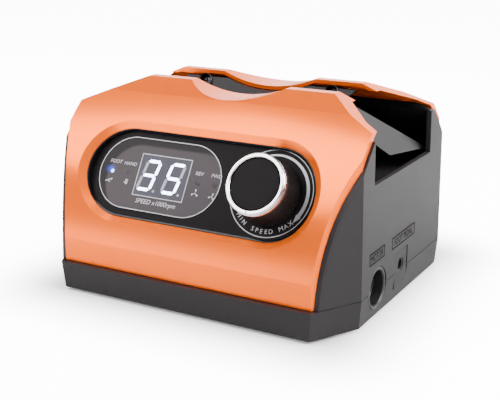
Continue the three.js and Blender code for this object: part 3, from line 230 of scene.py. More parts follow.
class Field:
    """A number that varies over a surface; arithmetic on it adds Math nodes."""

    def __init__(self, finish, socket):
        self.finish = finish
        self.socket = socket

    def _with(self, operation, first, second):
        node = self.finish.node("ShaderNodeMath", {"operation": operation}, {0: first, 1: second})
        return Field(self.finish, node.outputs[0])

    def __add__(self, other):
        return self._with("ADD", self, other)

    __radd__ = __add__

    def __mul__(self, other):
        return self._with("MULTIPLY", self, other)

    __rmul__ = __mul__

    def __sub__(self, other):
        return self._with("SUBTRACT", self, other)

    def __rsub__(self, other):
        return self._with("SUBTRACT", other, self)

    def __truediv__(self, other):
        return self._with("DIVIDE", self, other)

    def __pow__(self, other):
        return self._with("POWER", self, other)

    def __abs__(self):
        return self._with("ABSOLUTE", self, 0.0)

    def at_least(self, other):
        return self._with("MAXIMUM", self, other)

    def ramp(self, low, high):
        """0 below low, 1 above high, and smooth between them."""
        node = self.finish.node(
            "ShaderNodeMapRange",
            {"interpolation_type": "SMOOTHSTEP"},
            {"Value": self, "From Min": low, "From Max": high},
        )
        return Field(self.finish, node.outputs["Result"])


class Finish:
    """One material: its Principled shader and the nodes that feed it."""

    def __init__(self, name):
        self.material = bpy.data.materials.new(name + FINISH_MARK)
        self.material.use_nodes = True
        self.tree = self.material.node_tree
        self.tree.nodes.clear()
        self.shader = self.node("ShaderNodeBsdfPrincipled")
        self.node("ShaderNodeOutputMaterial", None, {"Surface": self.shader.outputs[0]})
        self._place = None

    def node(self, kind, settings=None, values=None):
        made = self.tree.nodes.new(kind)
        for key, value in (settings or {}).items():
            setattr(made, key, value)
        for key, value in (values or {}).items():
            socket = value.socket if isinstance(value, Field) else value
            if isinstance(socket, bpy.types.NodeSocket):
                self.tree.links.new(socket, made.inputs[key])
            else:
                made.inputs[key].default_value = socket
        return made

    def give(self, **values):
        """Sets the shader's sockets; underscores stand for the spaces in their names."""
        for key, value in values.items():
            target = self.shader.inputs[key.replace("_", " ")]
            socket = value.socket if isinstance(value, Field) else value
            if isinstance(socket, bpy.types.NodeSocket):
                self.tree.links.new(socket, target)
            elif isinstance(socket, (tuple, list)) and len(socket) == 3:
                target.default_value = (*socket, 1)
            else:
                target.default_value = socket
        return self

    def place(self):
        """Object coordinates, in metres."""
        if self._place is None:
            self._place = self.node("ShaderNodeTexCoord").outputs["Object"]
        return self._place

    def axes(self, origin=None, turn=None):
        """The three Object coordinates as fields, optionally from another origin and turned."""
        vector = self.place()
        if origin is not None:
            shifted = self.node(
                "ShaderNodeVectorMath", {"operation": "SUBTRACT"}, {0: vector, 1: tuple(origin)}
            )
            vector = shifted.outputs[0]
        if turn is not None:
            turned_axes = []
            for axis in turn:
                along = self.node(
                    "ShaderNodeVectorMath", {"operation": "DOT_PRODUCT"}, {0: vector, 1: tuple(axis)}
                )
                turned_axes.append(Field(self, along.outputs["Value"]))
            return turned_axes
        split = self.node("ShaderNodeSeparateXYZ", None, {0: vector})
        return [Field(self, socket) for socket in split.outputs]

    def noise(self, size, detail=2.0, stretch=(1, 1, 1)):
        """Noise whose patches are about size metres across."""
        scaled = self.node(
            "ShaderNodeVectorMath", {"operation": "MULTIPLY"},
            {0: self.place(), 1: tuple(share / size for share in stretch)},
        )
        made = self.node(
            "ShaderNodeTexNoise", None, {"Vector": scaled.outputs[0], "Scale": 1.0, "Detail": detail}
        )
        return Field(self, made.outputs[0])

    def mix(self, first, second, share):
        """From the first colour to the second."""
        made = self.node("ShaderNodeMix", {"data_type": "RGBA"}, {0: share})
        for index, value in ((6, first), (7, second)):
            if isinstance(value, bpy.types.NodeSocket):
                self.tree.links.new(value, made.inputs[index])
            else:
                made.inputs[index].default_value = (*value, 1)
        return made.outputs[2]

    def bump(self, height, distance, strength=1.0):
        made = self.node(
            "ShaderNodeBump", None, {"Height": height, "Distance": distance, "Strength": strength}
        )
        return self.give(Normal=made.outputs[0])


def shade(tone, share):
    """A colour made darker or lighter by a share."""
    return tuple(min(1.0, part * share) for part in tone)


def orange_gloss():
    """Pearl orange under a clear coat, with fine flake and a faint orange peel."""
    finish = Finish("orange_gloss")
    base = tuple(bpy.context.scene.unit_look.orange)
    flake = finish.noise(0.35 * MM, 3)
    cloud = finish.noise(26 * MM, 2)
    tone = finish.mix(shade(base, 0.93), shade(base, 1.05), cloud)
    tone = finish.mix(tone, shade(base, 1.18), flake.ramp(0.62, 0.75) * 0.35)
    finish.give(
        Base_Color=tone, Metallic=0.45, Roughness=0.19 + flake * 0.07, IOR=1.5,
        Coat_Weight=0.03, Coat_Roughness=0.05, Specular_IOR_Level=0.05,
    )
    return finish.bump(finish.noise(1.6 * MM, 1), 0.004 * MM).material


def dark_plastic():
    """Moulded satin plastic with a fine spark-eroded grain."""
    finish = Finish("dark_plastic")
    base = tuple(bpy.context.scene.unit_look.dark)
    grain = finish.noise(0.28 * MM, 3)
    cloud = finish.noise(18 * MM, 2)
    tone = finish.mix(shade(base, 0.85), shade(base, 1.15), cloud * 0.6 + grain * 0.4)
    finish.give(
        Base_Color=tone, Roughness=0.40 + grain * 0.12 + cloud * 0.05, IOR=1.5, Specular_IOR_Level=0.21,
    )
    return finish.bump(grain, 0.02 * MM, 0.6).material


def shell_plastic():
    """The same satin plastic, with painted shade: flat black deep inside the open ends."""
    finish = Finish("shell_plastic")
    base = tuple(bpy.context.scene.unit_look.dark)
    grain = finish.noise(0.28 * MM, 3)
    cloud = finish.noise(18 * MM, 2)
    across, along, up = finish.axes()
    inside_x = 1 - abs(across).ramp(HALF_WIDTH - UNLIT_FULL, HALF_WIDTH - UNLIT_FROM)
    inside_z = up.ramp(OPEN_END_SILL, OPEN_END_SILL + 1 * MM)
    corner = Vector((CORNER_WIDTH_MM, CORNER_DEPTH_MM)) * MM
    from_side = (HALF_WIDTH - abs(across)) * corner.y
    from_front = (HALF_DEPTH - abs(along)) * corner.x
    slack = from_side + from_front - corner.x * corner.y
    inside_corner = (slack / corner.length).ramp(UNLIT_FROM, UNLIT_FULL)
    # Painted shade: near black and rougher deep inside the open ends, standing in for the shade there.
    painted_shade = inside_x * inside_z * inside_corner
    tone = finish.mix(shade(base, 0.85), shade(base, 1.15), cloud * 0.6 + grain * 0.4)
    tone = finish.mix(tone, (0.0015, 0.0014, 0.0015), painted_shade)
    finish.give(
        Base_Color=tone, Roughness=0.40 + grain * 0.12 + cloud * 0.05 + painted_shade * 0.45, IOR=1.5,
        Specular_IOR_Level=0.23,
    )
    return finish.bump(grain, 0.02 * MM, 0.6).material


def black_plastic():
    """Plain black technical plastic."""
    finish = Finish("black_plastic")
    grain = finish.noise(0.4 * MM, 2)
    tone = finish.mix((0.004, 0.004, 0.0042), (0.009, 0.009, 0.0095), grain)
    finish.give(Base_Color=tone, Roughness=0.36 + grain * 0.2)
    return finish.bump(grain, 0.01 * MM, 0.5).material


def grip_plastic():
    """Black grip of the knob, slightly polished on its ribs."""
    finish = Finish("grip_plastic")
    grain = finish.noise(0.5 * MM, 2)
    tone = finish.mix((0.006, 0.0055, 0.0055), (0.012, 0.010, 0.010), grain)
    finish.give(Base_Color=tone, Roughness=0.45 + grain * 0.15, Specular_IOR_Level=0.25)
    return finish.material


def liner_gloss():
    """Polished black wall between the window's chamfer and the panel."""
    finish = Finish("liner_gloss")
    cloud = finish.noise(6 * MM, 1)
    tone = finish.mix((0.0022, 0.002, 0.0022), (0.005, 0.0045, 0.005), cloud)
    finish.give(Base_Color=tone, Roughness=0.12 + cloud * 0.06, Specular_IOR_Level=0.15)
    return finish.material


def panel_plastic():
    """Printed membrane, satin, with a very fine grain."""
    finish = Finish("panel_plastic")
    base = tuple(bpy.context.scene.unit_look.membrane)
    grain = finish.noise(0.2 * MM, 2)
    cloud = finish.noise(30 * MM, 1)
    tone = finish.mix(shade(base, 0.9), shade(base, 1.12), cloud * 0.7 + grain * 0.3)
    finish.give(Base_Color=tone, Roughness=0.36 + grain * 0.08, Specular_IOR_Level=0.02)
    return finish.bump(grain, 0.004 * MM, 0.5).material


def smoked_lens():
    """Smoked window, darker in a crescent along its upper left, with a painted blue glow round the lit lamp."""
    finish = Finish("smoked_lens")
    base = tuple(bpy.context.scene.unit_look.smoke)
    turn = [PANEL_PLACE.col[axis].to_3d() for axis in range(3)]
    origin = PANEL_PLACE @ Vector((LENS_MIDDLE.x, LENS_MIDDLE.y, PANEL_SURFACE))
    across, up, _ = finish.axes(origin, turn)
    shift_x = 4.5 * MM
    shift_y = -2.6 * MM
    inner = LENS_SIZE.y / 2 - 1.2 * MM
    reach = LENS_SIZE.x / 2 - LENS_SIZE.y / 2 + 0.5 * MM
    past_end = (abs(across - shift_x) - reach).at_least(0.0)
    from_line = (past_end ** 2.0 + (up - shift_y) ** 2.0) ** 0.5
    crescent = from_line.ramp(inner, inner + 1.6 * MM)
    tint = finish.noise(9 * MM, 1)
    tone = finish.mix(shade(base, 0.94), shade(base, 1.06), tint)
    tone = finish.mix(tone, shade(base, 0.34), crescent)
    # Painted light: the lens itself glows blue round the lit foot lamp, standing in for the lamp's light.
    lamp = extent_on_panel("indicator_led_foot")[0]
    lamp_x, lamp_y = lamp.x - LENS_MIDDLE.x - 1.2 * MM, lamp.y - LENS_MIDDLE.y + 0.6 * MM
    from_lamp = ((across - lamp_x) ** 2.0 + (up - lamp_y) ** 2.0 * 1.8) ** 0.5
    painted_lamp_halo = (1 - from_lamp.ramp(0.3 * MM, 4.2 * MM)) ** 2.0
    glow = finish.mix((0.0, 0.0, 0.0), (0.02, 0.09, 0.8), painted_lamp_halo)
    finish.give(
        Base_Color=tone, Roughness=0.14 + tint * 0.05, Specular_IOR_Level=0.035,
        Emission_Color=glow, Emission_Strength=1.0,
    )
    return finish.material


def chrome_trim():
    """Polished ring with faint turning marks."""
    finish = Finish("chrome_trim")
    marks = finish.noise(0.9 * MM, 3)
    tone = finish.mix((0.60, 0.575, 0.59), (0.70, 0.675, 0.69), marks)
    finish.give(Base_Color=tone, Metallic=1.0, Roughness=0.16 + marks * 0.10)
    return finish.material


def metal(name, low, high, roughness, patch):
    finish = Finish(name)
    brushed = finish.noise(patch, 3, (1, 1, 5))
    tone = finish.mix(low, high, brushed)
    finish.give(Base_Color=tone, Metallic=1.0, Roughness=roughness + brushed * 0.15)
    return finish.bump(brushed, 0.006 * MM, 0.4).material


def steel_part():
    """Plain zinc-plated steel."""
    return metal("steel_part", (0.42, 0.43, 0.45), (0.62, 0.63, 0.65), 0.28, 0.8 * MM)


def brass_part():
    """Turned brass."""
    return metal("brass_part", (0.56, 0.42, 0.18), (0.74, 0.58, 0.28), 0.24, 0.7 * MM)


def aluminium_part():
    """Mill-finish aluminium."""
    return metal("aluminium_part", (0.58, 0.59, 0.60), (0.78, 0.79, 0.80), 0.34, 1.1 * MM)


def rubber_foot():
    """Matt rubber."""
    finish = Finish("rubber_foot")
    grain = finish.noise(0.5 * MM, 3)
    tone = finish.mix((0.009, 0.009, 0.009), (0.02, 0.02, 0.02), grain)
    finish.give(Base_Color=tone, Roughness=0.78 + grain * 0.15)
    return finish.bump(grain, 0.03 * MM, 0.6).material


def circuit_board():
    """Green solder mask over copper tracks."""
    finish = Finish("circuit_board")
    across, along, _ = finish.axes()
    track_pitch = 2.2 * MM
    weave = finish.noise(3 * MM, 0)
    rows = finish.node(
        "ShaderNodeMath", {"operation": "FRACT"}, {0: (across + along * 0.5) / track_pitch + weave}
    )
    tracks = Field(finish, rows.outputs[0]).ramp(0.55, 0.62)
    tone = finish.mix((0.012, 0.075, 0.024), (0.03, 0.15, 0.05), tracks)
    finish.give(Base_Color=tone, Roughness=0.34 + tracks * 0.1)
    return finish.material


def copper_winding():
    """Layers of enamelled wire, darker in the grooves between turns: painted shade."""
    finish = Finish("copper_winding")
    _, _, up = finish.axes()
    turns = finish.node("ShaderNodeMath", {"operation": "SINE"}, {0: up / (0.08 * MM)})
    ridge = Field(finish, turns.outputs[0]) * 0.5 + 0.5
    # Painted shade: the tone follows the turns' ridges, dark brown in the grooves.
    tone = finish.mix((0.16, 0.04, 0.012), (0.50, 0.17, 0.06), ridge)
    finish.give(Base_Color=tone, Metallic=0.85, Roughness=0.34 + ridge * 0.1)
    return finish.bump(ridge, 0.05 * MM, 0.6).material


def blue_sleeve():
    """Shrink sleeve of the capacitors."""
    finish = Finish("blue_sleeve")
    wrinkle = finish.noise(2.2 * MM, 2, (1, 1, 0.4))
    tone = finish.mix((0.012, 0.02, 0.05), (0.03, 0.05, 0.11), wrinkle)
    finish.give(Base_Color=tone, Roughness=0.3 + wrinkle * 0.15)
    return finish.bump(wrinkle, 0.03 * MM, 0.4).material


def display_light():
    """Lit segments, white with a cold tinge, slightly uneven."""
    finish = Finish("display_light")
    uneven = finish.noise(1.4 * MM, 1)
    glow = finish.mix((0.50, 0.66, 1.0), (0.72, 0.84, 1.0), uneven)
    finish.give(Base_Color=(0.7, 0.75, 0.85), Roughness=0.3, Emission_Color=glow, Emission_Strength=11.0)
    return finish.material


def display_pane():
    """Front of the display module, a cold grey behind the smoked lens."""
    finish = Finish("display_pane")
    tint = finish.noise(6 * MM, 1)
    tone = finish.mix((0.052, 0.050, 0.064), (0.066, 0.063, 0.080), tint)
    finish.give(Base_Color=tone, Roughness=0.16 + tint * 0.05, Specular_IOR_Level=0.035)
    return finish.material


def resting_segment():
    """Segments that are off: pale grey-lavender, with a faint painted glow though they are not lit."""
    finish = Finish("resting_segment")
    uneven = finish.noise(1.2 * MM, 1)
    tone = finish.mix((0.155, 0.15, 0.185), (0.205, 0.20, 0.24), uneven)
    # Painted light: the unlit segments glow faintly.
    glow = finish.mix((0.05, 0.05, 0.075), (0.075, 0.075, 0.11), uneven)
    finish.give(Base_Color=tone, Roughness=0.25, Emission_Color=glow, Emission_Strength=1.0)
    return finish.material


def blue_light():
    """The lit blue indicator."""
    finish = Finish("blue_light")
    uneven = finish.noise(0.8 * MM, 1)
    glow = finish.mix((0.12, 0.34, 1.0), (0.4, 0.62, 1.0), uneven)
    finish.give(Base_Color=(0.3, 0.45, 0.9), Roughness=0.3, Emission_Color=glow, Emission_Strength=5.0)
    return finish.material


def print_grey():
    """Light grey screen print."""
    finish = Finish("print_grey")
    base = tuple(bpy.context.scene.unit_look.print_grey)
    speck = finish.noise(0.25 * MM, 2)
    tone = finish.mix(shade(base, 0.78), base, speck.ramp(0.3, 0.6))
    finish.give(Base_Color=tone, Roughness=0.42 + speck * 0.1)
    return finish.material


def print_silver():
    """Silver print of the dial's arc."""
    finish = Finish("print_silver")
    speck = finish.noise(0.3 * MM, 2)
    tone = finish.mix((0.30, 0.30, 0.32), (0.42, 0.42, 0.45), speck)
    finish.give(Base_Color=tone, Metallic=0.2, Roughness=0.34 + speck * 0.1)
    return finish.material


def print_dark():
    """Dark print of the socket labels."""
    finish = Finish("print_dark")
    speck = finish.noise(0.3 * MM, 2)
    tone = finish.mix((0.0015, 0.0015, 0.0018), (0.004, 0.004, 0.0045), speck)
    finish.give(Base_Color=tone, Roughness=0.7 + speck * 0.2, Specular_IOR_Level=0.04)
    return finish.material


MATERIAL_MAKERS = {
    maker.__name__: maker
    for maker in (
        orange_gloss, dark_plastic, shell_plastic, black_plastic, grip_plastic, liner_gloss,
        panel_plastic, smoked_lens, chrome_trim, steel_part, brass_part, aluminium_part, rubber_foot,
        circuit_board, copper_winding, blue_sleeve, display_light, display_pane, resting_segment, blue_light,
        print_grey, print_silver, print_dark,
    )
}


def finish_named(name):
    """The material of that name, made the first time it is asked for."""
    found = bpy.data.materials.get(name + FINISH_MARK)
    if found is None:
        found = MATERIAL_MAKERS[name]()
    return found


# ---- Mesh work ----------------------------------------------------------------------------------------


def object_of(name, mesh):
    made = bpy.data.objects.new(name, mesh)
    bpy.context.scene.collection.objects.link(made)
    return made


def object_from(name, work, recalculate=True):
    """Turns a bmesh into a named object whose faces point outwards."""
    if recalculate:
        bmesh.ops.recalc_face_normals(work, faces=work.faces)
    mesh = bpy.data.meshes.new(name)
    work.to_mesh(mesh)
    work.free()
    return object_of(name, mesh)


def plain_mesh(made):
    """Bakes an object's modifiers into its mesh."""
    bpy.context.view_layer.update()
    evaluated = made.evaluated_get(bpy.context.evaluated_depsgraph_get())
    mesh = bpy.data.meshes.new_from_object(evaluated)
    made.modifiers.clear()
    made.data = mesh
    return made


def loft(name, rings, closed=False):
    """A solid through rings with the same number of points; closed joins the last ring to the first."""
    work = bmesh.new()
    made = [[work.verts.new(point) for point in ring] for ring in rings]
    count = len(rings[0])
    pairs = list(zip(made, made[1:]))
    if closed:
        pairs.append((made[-1], made[0]))
    for lower, upper in pairs:
        for i in range(count):
            j = (i + 1) % count
            work.faces.new((lower[i], lower[j], upper[j], upper[i]))
    if not closed:
        work.faces.new(list(reversed(made[0])))
        work.faces.new(made[-1])
    return object_from(name, work)


def turned(name, profile, place, segments=96, closed=False):
    """A profile of (radius, height) turned about the place's Z. It runs from axis to axis, or closes."""
    work = bmesh.new()
    rings = []
    for radius, height in profile:
        if radius == 0:
            rings.append([work.verts.new(place @ Vector((0, 0, height)))])
            continue
        ring = []
        for i in range(segments):
            angle = 2 * math.pi * i / segments
            spot = Vector((radius * math.cos(angle), radius * math.sin(angle), height))
            ring.append(work.verts.new(place @ spot))
        rings.append(ring)
    pairs = list(zip(rings, rings[1:]))
    if closed:
        pairs.append((rings[-1], rings[0]))
    for lower, upper in pairs:
        for i in range(segments):
            j = (i + 1) % segments
            corners = [
                lower[i % len(lower)], lower[j % len(lower)], upper[j % len(upper)], upper[i % len(upper)],
            ]
            face = list(dict.fromkeys(corners))
            if len(face) > 2:
                work.faces.new(face)
    return object_from(name, work)


def rounded(profile, radius, steps=4):
    """The profile with each inner corner replaced by an arc of about that radius."""
    made = [profile[0]]
    for before, corner, after in zip(profile, profile[1:], profile[2:]):
        spot = Vector(corner)
        back = Vector(before) - spot
        ahead = Vector(after) - spot
        reach = min(radius, back.length / 2.2, ahead.length / 2.2)
        start = spot + back.normalized() * reach
        end = spot + ahead.normalized() * reach
        for i in range(steps + 1):
            share = i / steps
            bend = start * (1 - share) ** 2 + spot * 2 * share * (1 - share) + end * share ** 2
            made.append(tuple(bend))
    made.append(profile[-1])
    return made


def prism(name, outline, low, high, place=Matrix.Identity(4)):
    """An outline of (x, y) points, extruded along the place's Z."""
    return loft(name, [[place @ Vector((x, y, z)) for x, y in outline] for z in (low, high)])


def slab(name, low, high, place=Matrix.Identity(4)):
    """A block between two corners of the place's frame."""
    outline = [(low[0], low[1]), (high[0], low[1]), (high[0], high[1]), (low[0], high[1])]
    return prism(name, outline, low[2], high[2], place)


def combine(made, operation, *tools):
    """Applies exact booleans and removes the tools."""
    for tool in tools:
        step = made.modifiers.new(operation, "BOOLEAN")
        step.operation = operation
        step.solver = "EXACT"
        step.object = tool
        plain_mesh(made)
        bpy.data.objects.remove(tool)
    return made


def smooth(made, degrees=30):
    made.data.shade_smooth()
    made.data.set_sharp_from_angle(angle=math.radians(degrees))
    return made


def soften(made, radius, segments=3, degrees=24):
    """Rounds the edges that are sharper than an angle and smooths what is left."""
    tidy = bmesh.new()
    tidy.from_mesh(made.data)
    bmesh.ops.remove_doubles(tidy, verts=tidy.verts, dist=0.002 * MM)
    bmesh.ops.dissolve_limit(tidy, angle_limit=math.radians(0.2), verts=tidy.verts, edges=tidy.edges)
    tidy.to_mesh(made.data)
    tidy.free()
    smooth(made, degrees / 2)
    bevel = made.modifiers.new("edges", "BEVEL")
    bevel.width = radius
    bevel.segments = segments
    bevel.limit_method = "ANGLE"
    bevel.angle_limit = math.radians(degrees)
    bevel.use_clamp_overlap = True
    bevel.miter_outer = "MITER_ARC"
    weigh = made.modifiers.new("weigh", "WEIGHTED_NORMAL")
    weigh.weight = 100
    weigh.keep_sharp = True
    return plain_mesh(made)


def copy_of(node, name):
    """An editable copy of a CAD node's mesh with its loose triangles merged."""
    mesh = FRAME["nodes"][node].data.copy()
    mesh.name = name
    made = object_of(name, mesh)
    mesh.materials.clear()
    work = bmesh.new()
    work.from_mesh(mesh)
    bmesh.ops.remove_doubles(work, verts=work.verts, dist=0.001 * MM)
    work.to_mesh(mesh)
    work.free()
    return made


def joined(name, pieces):
    """One object out of several plain meshes."""
    work = bmesh.new()
    for piece in pieces:
        work.from_mesh(piece.data)
        bpy.data.objects.remove(piece)
    return object_from(name, work, recalculate=False)


def settle(made, material, body="root", nodes=()):
    """Gives a piece its material and body, and hides the CAD nodes it stands for."""
    made.data.materials.clear()
    made.data.materials.append(finish_named(material))
    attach(made, body)
    if nodes:
        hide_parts(*nodes)
    return made


def ring_of_copies(made, count, material):
    """Geometry Nodes: copies of a mesh evenly spaced round its own Z axis."""
    tree = bpy.data.node_groups.new("ring_of_copies", "GeometryNodeTree")
    face = tree.interface
    face.new_socket("Geometry", in_out="INPUT", socket_type="NodeSocketGeometry")
    count_socket = face.new_socket("Count", in_out="INPUT", socket_type="NodeSocketInt")
    material_socket = face.new_socket("Material", in_out="INPUT", socket_type="NodeSocketMaterial")
    face.new_socket("Geometry", in_out="OUTPUT", socket_type="NodeSocketGeometry")
    nodes, links = tree.nodes, tree.links
    given = nodes.new("NodeGroupInput")
    result = nodes.new("NodeGroupOutput")
    points = nodes.new("GeometryNodePoints")
    index = nodes.new("GeometryNodeInputIndex")
    share = nodes.new("ShaderNodeMath")
    share.operation = "DIVIDE"
    angle = nodes.new("ShaderNodeMath")
    angle.operation = "MULTIPLY"
    angle.inputs[1].default_value = 2 * math.pi
    turn = nodes.new("ShaderNodeCombineXYZ")
    place = nodes.new("GeometryNodeInstanceOnPoints")
    real = nodes.new("GeometryNodeRealizeInstances")
    paint = nodes.new("GeometryNodeSetMaterial")
    links.new(given.outputs["Count"], points.inputs["Count"])
    links.new(index.outputs[0], share.inputs[0])
    links.new(given.outputs["Count"], share.inputs[1])
    links.new(share.outputs[0], angle.inputs[0])
    links.new(angle.outputs[0], turn.inputs["Z"])
    links.new(points.outputs[0], place.inputs["Points"])
    links.new(given.outputs["Geometry"], place.inputs["Instance"])
    links.new(turn.outputs[0], place.inputs["Rotation"])
    links.new(place.outputs[0], real.inputs[0])
    links.new(real.outputs[0], paint.inputs["Geometry"])
    links.new(given.outputs["Material"], paint.inputs["Material"])
    links.new(paint.outputs[0], result.inputs[0])
    spread = made.modifiers.new("ring", "NODES")
    spread.node_group = tree
    spread[count_socket.identifier] = count
    spread[material_socket.identifier] = finish_named(material)
    return plain_mesh(made)


# ---- The fascias' curves -----------------------------------------------------------------------------


def side_curve(sizes, inset=0.0):
    """The rear half of the side view from foot to rim, as (y, z) from the middle, moved in by inset."""
    rim_outer = sizes.rim_half_gap + sizes.rim_width
    foot = Vector((HALF_DEPTH, PARTING_Z))
    crease = Vector((rim_outer + sizes.bevel_run, TOP_Z - sizes.bevel_rise))
    lean = sizes.foot_lean
    slope = sizes.crease_slope
    low = foot + Vector((-math.sin(lean), math.cos(lean))) * sizes.lower_pull
    high = crease + Vector((math.cos(slope), -math.sin(slope))) * sizes.upper_pull
    points = []
    for i in range(sizes.curve_steps + 1):
        t = i / sizes.curve_steps
        s = 1 - t
        spot = foot * s ** 3 + low * 3 * s * s * t + high * 3 * s * t * t + crease * t ** 3
        heading = (low - foot) * s * s + (high - low) * 2 * s * t + (crease - high) * t * t
        heading.normalize()
        if i == sizes.curve_steps:
            bevel = Vector((-sizes.bevel_run, sizes.bevel_rise)).normalized()
            heading = (heading + bevel).normalized()
        points.append((spot.x - heading.y * inset, spot.y + heading.x * inset))
    points.append((rim_outer - inset / 2, TOP_Z - inset))
    return points


def plan_outline(sizes, inset):
    """The eight-sided plan from the middle, every face moved in by inset."""
    slant = math.hypot(sizes.corner_width, sizes.corner_depth)
    slack = inset * slant
    side = HALF_WIDTH - inset
    front = HALF_DEPTH - inset
    side_y = HALF_DEPTH - sizes.corner_depth - (slack - inset * sizes.corner_depth) / sizes.corner_width
    front_x = HALF_WIDTH - sizes.corner_width - (slack - inset * sizes.corner_width) / sizes.corner_depth
    return [
        (-front_x, -front), (front_x, -front), (side, -side_y), (side, side_y),
        (front_x, front), (-front_x, front), (-side, side_y), (-side, -side_y),
    ]


def top_outline(sizes, drop, steps=40):
    """The front view as (x, z), with its top edges moved down by drop."""
    half = sizes.scoop_half_width
    radius = (half ** 2 + sizes.scoop_depth ** 2) / (2 * sizes.scoop_depth)
    spread = math.asin(half / radius)
    middle_z = TOP_Z - drop + radius - sizes.scoop_depth
    arc = []
    for i in range(steps + 1):
        angle = spread * (1 - 2 * i / steps)
        arc.append((radius * math.sin(angle), middle_z - radius * math.cos(angle)))
    reach = 2 * HALF_WIDTH
    slope = sizes.shoulder_drop / (sizes.shoulder_x - sizes.rim_half_width)
    low = TOP_Z - sizes.shoulder_drop - drop - slope * (reach - sizes.shoulder_x)
    level = TOP_Z - drop
    return [
        (-reach, 0), (reach, 0), (reach, low), (sizes.rim_half_width, level), *arc,
        (-sizes.rim_half_width, level), (-reach, low),
    ]


MIDDLE_PLACE = Matrix.Translation((0, MIDDLE_Y, 0))
ALONG_X = MIDDLE_PLACE @ Matrix(((0, 0, 1, 0), (1, 0, 0, 0), (0, 1, 0, 0), (0, 0, 0, 1)))
ALONG_Y = MIDDLE_PLACE @ Matrix(((1, 0, 0, 0), (0, 0, 1, 0), (0, 1, 0, 0), (0, 0, 0, 1)))


def plan_prism(sizes, inset, low, high):
    rings = []
    for z in (low, high):
        share = 1 - SIDE_DRAFT * (z - PARTING_Z)
        rings.append([MIDDLE_PLACE @ Vector((x * share, y, z)) for x, y in plan_outline(sizes, inset)])
    return loft("plan", rings)


def side_prism(sizes, inset, side):
    """The solid under the side curve on one side of the cradle: side is -1 at the front, 1 at the back."""
    points = side_curve(sizes, inset)
    inner = sizes.rim_half_gap if inset == 0 else 0
    outline = [(points[0][0], 0), *points, (inner, points[-1][1]), (inner, 0)]
    outline = [(side * y, z) for y, z in outline]
    return prism("side", outline, -2 * HALF_WIDTH, 2 * HALF_WIDTH, ALONG_X)


def stadium(span, breadth, count=48):
    """Points of a shape with two round ends; count of them on each end."""
    radius = breadth / 2
    reach = span / 2 - radius
    points = []
    for side, start in ((1, -math.pi / 2), (-1, math.pi / 2)):
        for i in range(count + 1):
            angle = start + math.pi * i / count
            points.append((side * reach + radius * math.cos(angle), radius * math.sin(angle)))
    return points


SEARCH_REACH = 40 * MM  # to either side of the panel
HALVINGS = 40


def surface_over_panel(sizes, spots):
    """For points on the panel's plane, the height along its normal of the fascia's outer curve."""
    curve = side_curve(sizes)
    heights = []
    for _, up in spots:
        low, high = -SEARCH_REACH, SEARCH_REACH
        for _ in range(HALVINGS):
            middle = (low + high) / 2
            spot = PANEL_PLACE @ Vector((0, up, middle))
            forward = MIDDLE_Y - spot.y
            if is_under(curve, forward, spot.z):
                low = middle
            else:
                high = middle
        heights.append(low)
    return heights


def is_under(curve, out, z):
    """Whether a point lies inside the side curve."""
    if z <= curve[0][1]:
        return out < curve[0][0]
    for (y0, z0), (y1, z1) in zip(curve, curve[1:]):
        if z0 <= z <= z1:
            return out < y0 + (y1 - y0) * (z - z0) / (z1 - z0)
    return False


def window_tool(sizes):
    """The window's cut: a straight hole that opens into a chamfer of even width."""
    inner = stadium(sizes.window_length, sizes.window_breadth)
    grow = 2 * sizes.chamfer_width
    outer = stadium(sizes.window_length + grow, sizes.window_breadth + grow)
    over_inner = surface_over_panel(sizes, inner)
    over_outer = surface_over_panel(sizes, outer)
    beyond = 0.5
    tool_foot = -30 * MM
    tool_top = 40 * MM
    below, start, end, past, above = [], [], [], [], []
    for (x0, y0), (x1, y1), n0, n1 in zip(inner, outer, over_inner, over_outer):
        foot = Vector((x0, y0, n0 - sizes.chamfer_depth))
        mouth = Vector((x1, y1, n1))
        outside = mouth + (mouth - foot) * beyond
        below.append(PANEL_PLACE @ Vector((x0, y0, tool_foot)))
        start.append(PANEL_PLACE @ foot)
        end.append(PANEL_PLACE @ mouth)
        past.append(PANEL_PLACE @ outside)
        above.append(PANEL_PLACE @ Vector((outside.x, outside.y, tool_top)))
    return loft("window", [below, start, end, past, above])


def fascia_blank(sizes, side):
    """Wall of one fascia before its window or pan opening is cut."""
    made = plan_prism(sizes, sizes.edge_inset, PARTING_Z + GAP, TOP_Z + 5 * MM)
    far = 3 * HALF_DEPTH
    combine(made, "INTERSECT", side_prism(sizes, 0, side))
    combine(made, "INTERSECT", prism("top", top_outline(sizes, 0), -far, far, ALONG_Y))
    under_scoop = side_prism(sizes, sizes.wall, side)
    combine(under_scoop, "INTERSECT", prism("under", top_outline(sizes, sizes.rim_lip), -far, far, ALONG_Y))
    shoulders = side_prism(sizes, sizes.wall, side)
    half_rim = sizes.rim_half_width
    combine(shoulders, "DIFFERENCE", slab("middle", (-half_rim, -far, -far), (half_rim, far, far)))
    combine(made, "DIFFERENCE", under_scoop, shoulders)
    slot = slab("slot", (-far, -sizes.rim_half_gap, 0), (far, sizes.rim_half_gap, far), MIDDLE_PLACE)
    combine(made, "DIFFERENCE", slot)
    half = sizes.rim_half_gap + sizes.rim_width / 2
    rebate = prism("rebate", top_outline(sizes, sizes.rim_lip), -half, half, ALONG_Y)
    return combine(made, "DIFFERENCE", rebate)


# ---- Pieces --------------------------------------------------------------------------------------------


def build_front_fascia(sizes):
    made = fascia_blank(sizes, -1)
    combine(made, "DIFFERENCE", window_tool(sizes))
    made.name = "front_fascia_moulding"
    soften(made, sizes.edge_radius)
    settle(made, "orange_gloss", nodes=["front_fascia"])


def build_rear_fascia(sizes):
    made = fascia_blank(sizes, 1)
    low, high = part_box("service_pan")
    opening = slab(
        "opening", (low.x - GAP, 0, low.z - GAP), (high.x + GAP, 3 * HALF_DEPTH, high.z + GAP)
    )
    combine(made, "DIFFERENCE", opening)
    made.name = "rear_fascia_moulding"
    soften(made, sizes.edge_radius)
    settle(made, "orange_gloss", nodes=["rear_fascia"])


